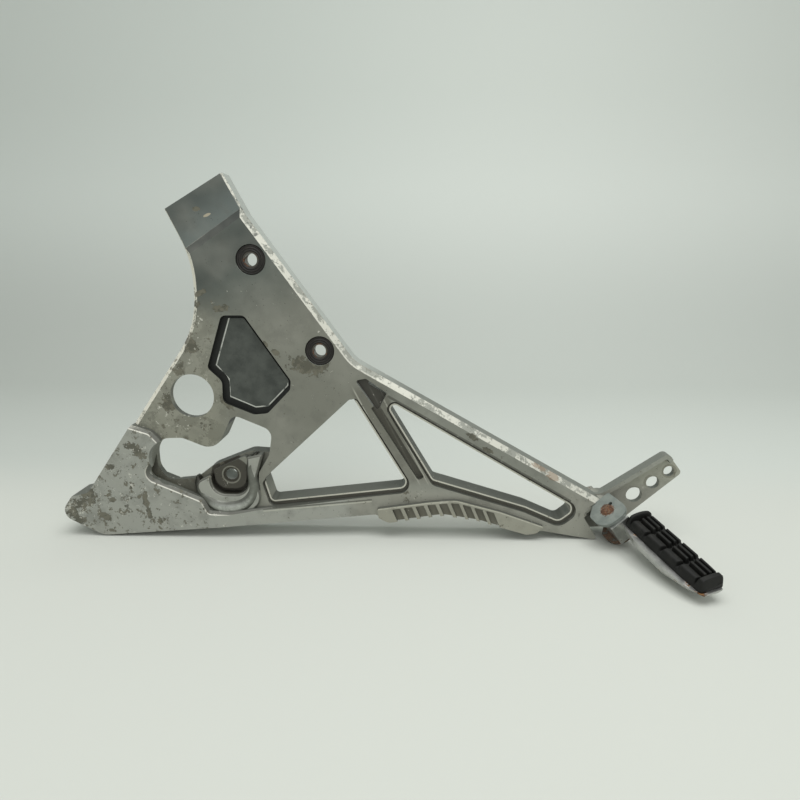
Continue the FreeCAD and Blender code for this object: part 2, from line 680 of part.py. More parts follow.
def make_clevis():
    """The pressed steel bracket: two ears across a back plate, and the stud welded to it."""
    body = add_body("clevis_bracket", HINGE)
    back = size("clevis_back")
    low = -size("clevis_low_side")
    high = size("clevis_high_side")
    front = size("clevis_front")
    steel = size("clevis_steel")
    cut = -size("clevis_corner_cut")
    ear = [(-back, cut, 0.0), (cut, low, 2.0), (front, low, 10.5), (front, high, 7.6),
           (-back, high - 2.0, 1.2)]
    for name, start in (("upper_ear", "sizes.clevis_height / 2 - sizes.clevis_steel"),
                        ("lower_ear", "-sizes.clevis_height / 2")):
        sketch = add_sketch(body, name + "_outline", "XY_Plane", start)
        sketch.addGeometry(rounded(ear), False)
        add_feature(body, "Pad", name, sketch, "sizes.clevis_steel")
        if name == "upper_ear":
            plate = add_sketch(body, "back_plate_outline", "XY_Plane", "-sizes.clevis_height / 2")
            corners = [(-back, cut, 0.0), (-back + steel, cut, 0.0),
                       (-back + steel, high - 2.0, 0.0), (-back, high - 2.0, 1.2)]
            plate.addGeometry(rounded(corners), False)
            add_feature(body, "Pad", "back_plate", plate, "sizes.clevis_height")
    doc.recompute()
    stud = add_sketch(body, "stud_outline", "YZ_Plane", "-sizes.clevis_back")
    add_circle(stud, 0.0, 0.0, "stud_radius")
    add_feature(body, "Pad", "stud", stud, "sizes.seat_length + sizes.washer_thick"
                " + sizes.nut_height + sizes.stud_beyond_nut", reverse=True)
    doc.recompute()
    bore = add_sketch(body, "pin_bore_outline", "XY_Plane", "sizes.clevis_height")
    add_circle(bore, 0.0, 0.0, "pin_bore_radius")
    add_feature(body, "Pocket", "pin_bore", bore, "sizes.clevis_height * 2")
    detent = add_sketch(body, "detent_hole_outline", "XY_Plane", "sizes.clevis_height")
    add_circle(detent, *detent_place(), "detent_hole_radius")
    add_feature(body, "Pocket", "detent_hole", detent, "sizes.clevis_height")
    doc.recompute()
    return body


def detent_place():
    """Where the ball clicks into the upper ear when the footrest is out."""
    reach = size("detent_reach")
    angle = math.radians(size("detent_angle"))
    return reach * math.cos(angle), reach * math.sin(angle)


def behind_clevis(distance):
    """A placement whose z axis runs back along the stud, a distance behind the back plate."""
    start = Placement(Vector(-size("clevis_back") - distance, 0, 0), Rotation(Vector(0, 1, 0), -90))
    return HINGE * start


def make_washer():
    inner = size("stud_radius") + size("stud_hole_gap")
    outer = size("washer_radius")
    thick = size("washer_thick")
    profile = [(inner, 0.0, 0.0), (outer, 0.0, 0.0), (outer, thick, 0.0), (inner, thick, 0.0)]
    return add_revolved("bracket_washer", behind_clevis(size("seat_length")), profile)


def make_nut():
    """The hexagon nut on the stud."""
    start = size("seat_length") + size("washer_thick")
    body = add_body("bracket_nut", behind_clevis(start))
    radius = size("nut_across_flats") / math.sqrt(3.0)
    corners = [(radius * math.cos(math.radians(60 * turn)), radius * math.sin(math.radians(60 * turn)),
                0.0) for turn in range(6)]
    sketch = add_sketch(body, "nut_outline", "XY_Plane")
    sketch.addGeometry(rounded(corners), False)
    add_feature(body, "Pad", "nut_blank", sketch, "sizes.nut_height")
    doc.recompute()
    hole = add_sketch(body, "nut_bore_outline", "XY_Plane", "sizes.nut_height + 1")
    add_circle(hole, 0.0, 0.0, "nut_bore_radius")
    add_feature(body, "Pocket", "nut_bore", hole, "sizes.nut_height + 2")
    doc.recompute()
    return body


def make_pin():
    """The pivot pin: headed under the lower ear and peened over at the upper one."""
    radius = size("pin_radius")
    half = size("clevis_height") / 2.0
    top = half + size("pin_proud")
    head = size("pin_head_radius")
    bottom = -half - size("pin_head_height")
    bevel = 0.7
    profile = [(0.0, bottom, 0.0), (head - bevel, bottom, 0.0), (head, bottom + bevel, 0.0),
               (head, -half, 0.0), (radius, -half, 0.0), (radius, top, 0.0), (0.0, top, 0.0)]
    return add_revolved("pivot_pin", HINGE, profile)


def knuckle_half():
    return size("clevis_height") / 2.0 - size("clevis_steel") - size("knuckle_gap")


def make_spring_washer():
    """The thin washer that takes up the play under the knuckle."""
    floor = -size("clevis_height") / 2.0 + size("clevis_steel")
    inner = size("pin_radius") + size("pin_gap")
    outer = size("knuckle_radius") - 0.4
    thick = size("spring_washer_thick")
    profile = [(inner, floor, 0.0), (outer, floor, 0.0), (outer, floor + thick, 0.0),
               (inner, floor + thick, 0.0)]
    return add_revolved("thrust_washer", HINGE, profile)


HULL_STATIONS = [(0.0, 0.80, 0.72), (0.2, 1.0, 1.0), (0.58, 1.03, 0.94), (0.86, 0.88, 0.48),
                 (1.0, 0.60, 0.15)]


def make_peg_core():
    """The footrest's metal core: a boat-shaped hull, its neck, and the knuckle on the pin."""
    hull = add_body("peg_hull", TREAD)
    sections = []
    for number, (share, width, depth) in enumerate(HULL_STATIONS):
        sketch = add_sketch(hull, "hull_section_%d" % number, "YZ_Plane",
                            "sizes.peg_start + sizes.peg_length * %g" % share)
        right = size("peg_half_width") * width
        left = right + size("peg_shelf") * width
        top = size("joint_height")
        keel = top - size("peg_keel") * depth
        bilge = top - (top - keel) * 0.55
        corners = [(right, top, 0.0), (right * 0.92, bilge, 0.0), (right * 0.42, keel, right * 0.4),
                   (-left * 0.42, keel, left * 0.4), (-left * 0.92, bilge, left * 0.3),
                   (-left, top, 0.0)]
        sketch.addGeometry(rounded(corners), False)
        sections.append(sketch)
    loft = hull.newObject("PartDesign::AdditiveLoft", "hull_loft")
    loft.Profile = sections[0]
    loft.Sections = sections[1:]
    loft.Ruled = True
    doc.recompute()
    half = knuckle_half()
    low = -half + size("spring_washer_thick") + size("knuckle_gap") * 0.4
    knuckle = add_body("peg_knuckle", HINGE)
    radius = size("knuckle_radius")
    reach = size("peg_start")
    sketch = add_sketch(knuckle, "knuckle_outline", "XY_Plane", "%g" % low)
    corners = [(-radius, -radius, radius * 0.99), (reach, -radius, 0.0), (reach, radius, 0.0),
               (-radius, radius, radius * 0.99)]
    sketch.addGeometry(rounded(corners), False)
    add_feature(knuckle, "Pad", "knuckle_block", sketch, "%g" % (half - low))
    doc.recompute()
    bore = add_sketch(knuckle, "knuckle_bore_outline", "XY_Plane", "sizes.clevis_height")
    bore.addGeometry(Part.Circle(Vector(0, 0, 0), Vector(0, 0, 1),
                                 size("pin_radius") + size("pin_gap")), False)
    add_feature(knuckle, "Pocket", "knuckle_bore", bore, "sizes.clevis_height * 2")
    place = detent_place()
    seat = add_sketch(knuckle, "detent_bore_outline", "XY_Plane", "%g" % (half + 1.0))
    seat.addGeometry(Part.Circle(Vector(place[0], place[1], 0), Vector(0, 0, 1),
                                 size("detent_ball_radius") + size("pin_gap")), False)
    add_feature(knuckle, "Pocket", "detent_bore", seat, "sizes.detent_spring_length"
                " + sizes.detent_ball_radius * 2 + 1")
    doc.recompute()
    core = doc.addObject("Part::Fuse", "peg_core")
    core.Base = hull
    core.Tool = knuckle
    core.Label = "peg_core"
    doc.recompute()
    return core


def make_detent():
    """The ball and its spring sleeve, stood in a bore of the knuckle under the upper ear."""
    half = knuckle_half()
    place = detent_place()
    radius = size("detent_ball_radius")
    steps = 7
    ball_profile = [(radius * math.sin(math.pi * step / steps),
                     -radius * math.cos(math.pi * step / steps), 0.0) for step in range(steps + 1)]
    ball_profile[0] = (0.0, -radius, 0.0)
    ball_profile[-1] = (0.0, radius, 0.0)
    ball = add_revolved("detent_ball", HINGE * Placement(Vector(*place, half - radius), Rotation()),
                        ball_profile)
    outer = radius - 0.05
    inner = outer - 0.6
    start = half - 2.0 * radius - size("detent_spring_length")
    stop = half - 2.0 * radius + 0.2
    spring = add_revolved("detent_spring", HINGE * Placement(Vector(*place, 0), Rotation()),
                          [(inner, start, 0.0), (outer, start, 0.0), (outer, stop, 0.0),
                           (inner, stop, 0.0)])
    return [ball, spring]


def make_rubber():
    """The footrest's rubber: a base, rows of blocks and ribs, an inner collar and an end lip."""
    body = add_body("peg_rubber", TREAD)
    start = size("peg_start") + size("rubber_gap")
    length = size("rubber_length")
    half = size("rubber_half_width")
    base = "sizes.joint_height"
    outline = [(start, -half, 4.0), (start + length * 0.8, -half, 12.0),
               (start + length, -half * 0.72, 5.0), (start + length, half * 0.72, 5.0),
               (start + length * 0.8, half, 12.0), (start, half, 4.0)]
    sketch = add_sketch(body, "rubber_base_outline", "XY_Plane", base)
    sketch.addGeometry(rounded(outline), False)
    add_feature(body, "Pad", "rubber_base", sketch, "sizes.rubber_base")
    doc.recompute()
    top = size("joint_height") + size("rubber_base")
    high = top + size("rubber_block")
    first = start + size("collar_ridge") + 1.4
    under = top - 1.0
    blocks = [(-half + 0.3, -half * 0.30), (-half * 0.18, half * 0.14),
              (half * 0.26, half * 0.56), (half * 0.67, half * 0.97)]
    for number, (left, right) in enumerate(blocks):
        drop = 1.2 if number in (0, 3) else 0.0
        ends = 2.4 if number == 0 else 1.3
        corners = [(left, under, 0.0), (right, under, 0.0), (right, high - drop, 1.3),
                   (left, high - drop * 0.6, ends)]
        rib = add_sketch(body, "block_%d_outline" % number, "YZ_Plane", "%g" % first)
        rib.addGeometry(rounded(corners), False)
        pad = add_feature(body, "Pad", "block_%d" % number, rib, "sizes.rubber_row_length")
        pattern = body.newObject("PartDesign::LinearPattern", "block_row_%d" % number)
        pattern.Originals = [pad]
        pattern.Direction = (rib, ["N_Axis"])
        pattern.Length = size("rubber_row_pitch") * (size("rubber_rows") - 1)
        pattern.Occurrences = int(size("rubber_rows"))
        body.Tip = pattern
        doc.recompute()
    ridge = add_sketch(body, "collar_outline", "YZ_Plane", "sizes.peg_start + sizes.rubber_gap")
    corners = [(-half + 0.5, under, 0.0), (half - 0.5, under, 0.0), (half - 0.5, high + 2.0, 6.0),
               (-half + 0.5, high + 2.0, 6.0)]
    ridge.addGeometry(rounded(corners), False)
    add_feature(body, "Pad", "collar", ridge, "sizes.collar_ridge")
    lip = add_sketch(body, "end_lip_outline", "YZ_Plane",
                     "sizes.peg_start + sizes.rubber_gap + sizes.rubber_length - sizes.end_lip")
    corners = [(-half * 0.7, under, 0.0), (half * 0.7, under, 0.0), (half * 0.7, high + 1.0, 4.0),
               (-half * 0.7, high - 1.0, 4.0)]
    lip.addGeometry(rounded(corners), False)
    add_feature(body, "Pad", "end_lip", lip, "sizes.end_lip")
    doc.recompute()
    return body


pieces = [make_casting()]
for label, (grommet_x, grommet_z) in zip(("upper", "lower"), GROMMETS):
    pieces.append(make_grommet(label + "_grommet", grommet_x, grommet_z))
    pieces.append(make_collar(label + "_collar", grommet_x, grommet_z))
pieces += [make_clevis(), make_washer(), make_nut(), make_pin(), make_spring_washer(),
           make_peg_core(), make_rubber()]
pieces += make_detent()

doc.recompute()
for item in doc.Objects:
    if "Invalid" in item.State or "Error" in item.State:
        raise RuntimeError("%s did not build: %s" % (item.Name, item.State))
for piece in pieces:
    if piece.Shape.isNull() or not piece.Shape.isValid():
        raise RuntimeError("%s has no valid shape" % piece.Label)

os.makedirs("parts", exist_ok=True)
for piece in pieces:
    piece.Shape.exportStep("parts/%s.step" % piece.Label)
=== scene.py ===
import bpy
import math
import numpy as np
from functools import reduce
from operator import mul
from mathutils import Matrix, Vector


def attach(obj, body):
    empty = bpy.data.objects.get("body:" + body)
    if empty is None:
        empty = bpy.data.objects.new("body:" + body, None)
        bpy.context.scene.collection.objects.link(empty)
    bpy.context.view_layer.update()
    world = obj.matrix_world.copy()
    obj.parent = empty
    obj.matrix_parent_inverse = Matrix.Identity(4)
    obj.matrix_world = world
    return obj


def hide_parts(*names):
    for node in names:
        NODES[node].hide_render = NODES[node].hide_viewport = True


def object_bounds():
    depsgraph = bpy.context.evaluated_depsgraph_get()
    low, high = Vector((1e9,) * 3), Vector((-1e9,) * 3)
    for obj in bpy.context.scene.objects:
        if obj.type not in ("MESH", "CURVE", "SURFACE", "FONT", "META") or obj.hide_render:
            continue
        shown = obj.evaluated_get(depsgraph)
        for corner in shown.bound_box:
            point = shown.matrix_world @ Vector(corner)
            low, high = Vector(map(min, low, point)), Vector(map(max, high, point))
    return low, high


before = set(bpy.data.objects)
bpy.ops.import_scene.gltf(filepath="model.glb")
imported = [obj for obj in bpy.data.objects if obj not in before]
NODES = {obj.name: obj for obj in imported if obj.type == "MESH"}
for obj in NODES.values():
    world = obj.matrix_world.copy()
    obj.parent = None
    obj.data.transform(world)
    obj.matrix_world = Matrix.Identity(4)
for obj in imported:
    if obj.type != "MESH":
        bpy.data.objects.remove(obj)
cad_box = [[float(value) for value in corner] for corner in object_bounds()]
MM = 0.001

# Shader maths


class Wire:
    """A number on a socket, so that shader maths can be written as plain sums."""

    def __init__(self, finish, socket):
        self.finish = finish
        self.socket = socket

    def maths(self, operation, *values):
        """Adds a Math node for the operation."""
        return self.finish.node("ShaderNodeMath", {"operation": operation}, values)

    def __add__(self, other):
        return self.maths("ADD", self, other)

    def __sub__(self, other):
        return self.maths("SUBTRACT", self, other)

    def __rsub__(self, other):
        return self.maths("SUBTRACT", other, self)

    def __mul__(self, other):
        return self.maths("MULTIPLY", self, other)

    def __truediv__(self, other):
        return self.maths("DIVIDE", self, other)

    def __pow__(self, other):
        return self.maths("POWER", self, other)

    __radd__ = __add__
    __rmul__ = __mul__

    def rise(self, low, high):
        """0 below low, 1 above high, and a soft step between; low above high turns it round."""
        return self.finish.node("ShaderNodeMapRange", {"interpolation_type": "SMOOTHSTEP"}, {
            "Value": self, "From Min": low, "From Max": high})

    def band(self, low, high, soft):
        """1 between low and high, with soft ends."""
        return self.rise(low - soft, low + soft) * self.rise(high + soft, high - soft)

    def most(self, other):
        """The larger of the two."""
        return self.maths("MAXIMUM", self, other)

    def least(self, other):
        """The smaller of the two."""
        return self.maths("MINIMUM", self, other)


class Finish:
    """A material under construction. Its x, y and z are places on the object in metres, and nx,
    ny and nz the parts of the surface's normal."""

    def __init__(self, name):
        self.material = bpy.data.materials.new(name)
        self.material.use_nodes = True
        self.tree = self.material.node_tree
        self.shader = self.tree.nodes["Principled BSDF"]
        self.place = self.node("ShaderNodeTexCoord", {}, {}, "Object")
        self.x, self.y, self.z = self.parts(self.place)
        self.nx, self.ny, self.nz = self.parts(self.node("ShaderNodeTexCoord", {}, {}, "Normal"))

    def node(self, kind, settings, values, output=0):
        """Adds a node with its settings, then gives its sockets their values or links."""
        made = self.tree.nodes.new(kind)
        for key, value in settings.items():
            setattr(made, key, value)
        pairs = values.items() if isinstance(values, dict) else enumerate(values)
        for key, value in pairs:
            self.feed(made.inputs[key], value)
        return Wire(self, made.outputs[output])

    def feed(self, socket, value):
        """Links a wire to the socket, or sets the socket's own value."""
        if isinstance(value, Wire):
            self.tree.links.new(value.socket, socket)
        elif isinstance(value, tuple) and socket.type == "RGBA":
            socket.default_value = (*value, 1.0)
        else:
            socket.default_value = value

    def parts(self, vector):
        """The three parts of a vector."""
        split = self.tree.nodes.new("ShaderNodeSeparateXYZ")
        self.tree.links.new(vector.socket, split.inputs[0])
        return [Wire(self, split.outputs[number]) for number in range(3)]

    def vector_maths(self, operation, *values):
        """A number worked out from vectors."""
        return self.node("ShaderNodeVectorMath", {"operation": operation}, values, "Value")

    def noise(self, scale, detail, roughness, at=None):
        """Cloudy noise from 0 to 1; the scale counts its clouds per metre."""
        return self.node("ShaderNodeTexNoise", {}, {
            "Vector": at or self.place, "Scale": scale, "Detail": detail, "Roughness": roughness})

    def cells(self, scale):
        """The distance to the nearest of many scattered points."""
        return self.node("ShaderNodeTexVoronoi", {}, {
            "Vector": self.place, "Scale": scale}, "Distance")

    def mix(self, share, first, second):
        """The first colour where the share is 0, and the second where it is 1. A Mix node has
        sockets for every type of data, and 6, 7 and output 2 are those for colours."""
        return self.node("ShaderNodeMix", {"data_type": "RGBA"}, {0: share, 6: first, 7: second}, 2)

    def spot(self, x, z, across, up, turn=0.0, edge=None):
        """1 inside an ellipse seen from the front, its edge broken by a noise if one is given.
        Its place and its half sizes are in mm, and its turn in degrees."""
        angle = math.radians(turn)
        dx = self.x - x * MM
        dz = self.z - z * MM
        along = (dx * math.cos(angle) + dz * math.sin(angle)) / (across * MM)
        over = (dz * math.cos(angle) - dx * math.sin(angle)) / (up * MM)
        reach = along * along + over * over
        if edge is not None:
            reach = reach + edge
        return reach.rise(1.06, 0.94)

    def close(self, colour, roughness, metallic=0.0, height=None, depth=0.0):
        """Feeds the shader, and gives the material back. Depth is the bump's, in metres."""
        self.feed(self.shader.inputs["Base Color"], colour)
        self.feed(self.shader.inputs["Roughness"], roughness)
        self.feed(self.shader.inputs["Metallic"], metallic)
        if height is not None:
            bump = self.node("ShaderNodeBump", {}, {"Height": height, "Distance": depth,
                                                    "Strength": 1.0}, "Normal")
            self.feed(self.shader.inputs["Normal"], bump)
        return self.material


def paint(red, green, blue):
    """A colour as it is seen, 0 to 255, made linear for the shader."""
    def linear(value):
        value = value / 255.0
        return value / 12.92 if value <= 0.04045 else ((value + 0.055) / 1.055) ** 2.4
    return linear(red), linear(green), linear(blue)


# Finishes


# The casting's front face, the hinge's middle, and the three angles that lean its pin.
FRONT = -18.0 * MM
HINGE = (0.281, -0.023, -0.029)
PEG_TURN, PEG_DROP, PEG_ROLL = -71.0, 10.8, 38.8


def turn_about(axis, degrees):
    """A right-handed turn about the x, y or z axis, numbered 0 to 2, as a matrix."""
    angle = math.radians(degrees)
    matrix = np.eye(3)
    first, second = (axis + 1) % 3, (axis + 2) % 3
    matrix[first, first] = matrix[second, second] = math.cos(angle)
    matrix[first, second] = -math.sin(angle)
    matrix[second, first] = math.sin(angle)
    return matrix


LEAN = turn_about(2, PEG_TURN) @ turn_about(1, PEG_DROP) @ turn_about(0, PEG_ROLL)
PIN_AXIS = tuple(LEAN[:, 2].tolist())

# Regions of the casting: soft edges along x, z and depth in mm, outside at the first value of a
# pair and inside at the second. Depth is less than 0 where the casting stands proud.
LEFT = {"x": (12.0, -15.0), "z": (135.0, 105.0)}
BEAM = {"x": (100.0, 125.0)}
FLANGE = {"x": (236.0, 250.0)}
ARM = {"x": (268.0, 274.0), "depth": (12.0, 13.0)}
LOW_BAR = {"x": (18.0, 30.0), "z": (-6.0, -14.0)}
TOE = {"x": (106.0, 96.0), "depth": (-0.4, -1.2)}
PAD = {"x": (104.0, 108.0), "depth": (-2.6, -3.2)}
PAD_FACE = {"depth": PAD["depth"]}
PAD_UNDER = {"z": (-12.0, -17.0)}
INSIDE_TOE = {"x": (100.0, 80.0), "z": (45.0, 35.0)}
WALL_FOOT = {"depth": (-5.2, -5.7)}
RAMP_EDGE = {"depth": (2.6, 2.4)}
RIGHT_EDGE = {"depth": (4.0, 3.6)}
INNER_LINE = {"x": (120.0, 90.0), "depth": (1.1, 0.5)}
LEFT_EDGE = {"x": (0.0, -12.0)}
SHADED_SIDE = {"x": (80.0, 140.0)}
RIGHT_OF_CUP = {"x": (20.0, 26.0)}
WELL_LEFT = {"x": (-12.0, -20.0)}
BELOW_FACE = {"depth": (0.4, 1.4)}
WORN_TIP = {"x": (-85.0, -115.0)}
WORN_LEFT = {"x": (10.0, -20.0), "z": (140.0, 115.0)}
WORN_BEAM = {"x": (100.0, 150.0)}
NEAR_TAB = {"z": (130.0, 160.0)}
# Layers of the casting: where each starts and ends in depth, in mm.
LEDGE = (1.8, 2.2)
CHANNEL = (3.2, 4.4)
POCKET_FLOOR = (3.2, 3.4)
POCKET_RIM_DEPTHS = (3.0, 4.4)
WEB_FLOOR = (4.6, 5.3)
BOSS_DEPTHS = (0.8, 8.0)
WELL_DEPTHS = (1.5, 8.0)
TOE_WALL = (-6.2, -0.4)
LEFT_BEVEL = (-6.5, 3.4)
TEETH_DEPTHS, TEETH_ALONG = (-3.0, -0.05), (118.0, 205.0)

# The way up to the tab as x and z parts. Then places on that way in mm: the ramp, the shade
# below it, and the tab's darkening.
CREASE = (-0.549, 0.836)
RAMP = (142.2, 147.4)
RAMP_SHADE = (118.0, 142.5)
TAB_DARKENS = (148.0, 172.0)
# The way out to the right as x and z parts, and where its edge lies on it in mm.
RIGHTWARDS = (0.5, 0.866)
NEAR_RIGHT = (96.0, 100.0)
# A direction across the toe's wall as x and z parts, and where the inner wall lies on it in mm.
TOE_INWARDS = (0.86, 0.5)
INNER_WALL = (-64.0, -58.0)
# A point on the strut's middle line in mm, and the way across it. Then in mm its width across,
# its height, its left end and its bright ridges.
STRUT_POINT = (107.0, 60.0)
STRUT_ACROSS = (0.8917, 0.4527)
STRUT_WIDTH, STRUT_HEIGHT, STRUT_LEFT = (-13.0, 9.0), (-4.0, 66.0), (88.0, 94.0)
STRUT_RIDGES = [(-11.2, -10.2), (-1.0, 0.0), (4.8, 5.6)]

# Ellipses seen from the front: x, z, half across and half up in mm.
POCKET = (14.0, 80.0, 42.0, 44.0)
WEB_POCKET = (104.0, 62.0, 16.0, 18.0)
BOSS = (-1.0, -1.0, 16.0, 15.0)
WELL = (-30.0, -4.0, 36.0, 26.0)
# Radii round the boss's hole in mm: the hole, and its ring from inside to outside.
BOSS_HOLE = 4.5
BOSS_RING = (6.0, 7.0)

# The arm's three holes with the grime round them: x, z and radius in mm.
ARM_HOLES = [(301.0, -17.0, 7.4), (314.0, -7.0, 6.2), (325.0, 2.0, 5.2)]
# Dark lines and bright lips as lines seen from the front, x and z in mm.
BEAM_DARK_LINE = [(117.0, 60.6), (250.0, -17.0)]
LOW_DARK_LINE = [(24.0, -25.2), (104.0, -18.2)]
LOW_LIP = [(24.0, -26.6), (104.0, -19.6)]
PAD_LIP = [(109.5, -24.4), (146.0, -18.9), (166.0, -16.9), (199.0, -25.6), (230.0, -36.4)]
# The left and lower rim of the dark pocket's raised floor, where a painted highlight runs, as such a
# line.
POCKET_RIM = [(5.5, 115.0), (-5.8, 82.2), (2.6, 72.0), (2.7, 59.2), (20.8, 51.4), (29.6, 52.3),
              (44.6, 67.4), (45.2, 71.0)]

# Chips in the coat seen from the front: x, z, half across, half up in mm, and turn in degrees.
CHIPS = [
    (-67.0, 20.7, 8.1, 3.8, -32), (-87.1, 7.4, 3.0, 2.3, 20), (-113.2, -21.3, 11.4, 4.0, 10),
    (-104.7, -14.0, 6.1, 4.0, 25), (-120.9, -27.0, 4.6, 6.5, 0), (-95.5, -31.5, 5.3, 2.8, -25),
    (-116.5, -34.3, 2.3, 4.9, 0), (-62.6, -22.2, 2.2, 13.0, 8), (-92.3, -42.9, 4.6, 1.6, 0),
    (-87.9, -18.5, 2.3, 1.6, 0), (-10.8, 187.9, 2.7, 1.9, 0), (-12.3, 132.7, 4.9, 2.0, 25),
    (-16.4, 125.2, 3.5, 2.7, 30), (0.8, 121.8, 4.9, 2.7, 10), (59.0, 82.2, 12.0, 5.4, -15),
    (70.4, 85.9, 5.3, 5.0, 0), (30.1, 97.7, 3.5, 1.8, -40), (38.2, 91.4, 3.5, 1.8, -40),
    (-22.4, 96.7, 5.0, 6.4, 0), (-42.2, 53.1, 5.1, 4.5, 30), (1.7, 55.7, 6.5, 3.7, -45),
    (177.6, 31.2, 4.3, 1.9, -35), (188.7, 21.5, 4.3, 1.9, -35), (74.1, -10.9, 2.2, 2.4, 0),
]
RUST = [(227.4, 8.3, 5.7, 2.3, -35), (237.2, 0.7, 5.8, 2.3, -35)]
BRIGHT_CHIP = (-4.5, 184.0, 2.3, 0.75, 20)

BARE = paint(206, 205, 194)
OLIVE = paint(78, 77, 65)


def any_of(masks):
    """1 where any of the masks is."""
    return reduce(Wire.most, masks)


def thin_line(f, knots, half_width):
    """1 within half a width of a broken line seen from the front: the least distance to its
    runs, each found by the place along the run that is nearest."""
    distances = []
    for (x, z), (end_x, end_z) in zip(knots, knots[1:]):
        length = math.hypot(end_x - x, end_z - z)
        ahead = ((end_x - x) / length, (end_z - z) / length)
        dx = f.x / MM - x
        dz = f.z / MM - z
        along = (dx * ahead[0] + dz * ahead[1]).most(0.0).least(length)
        off_x = dx - along * ahead[0]
        off_z = dz - along * ahead[1]
        distances.append((off_x * off_x + off_z * off_z) ** 0.5)
    return reduce(Wire.least, distances).rise(half_width * 1.3, half_width * 0.7)


def ragged_spots(f, spots, ragged):
    """1 inside any of the ellipses, their edges broken by one shared noise."""
    edge = (f.noise(230.0, 6.0, 0.7) - 0.5) * ragged
    return any_of(f.spot(*spot, edge) for spot in spots)


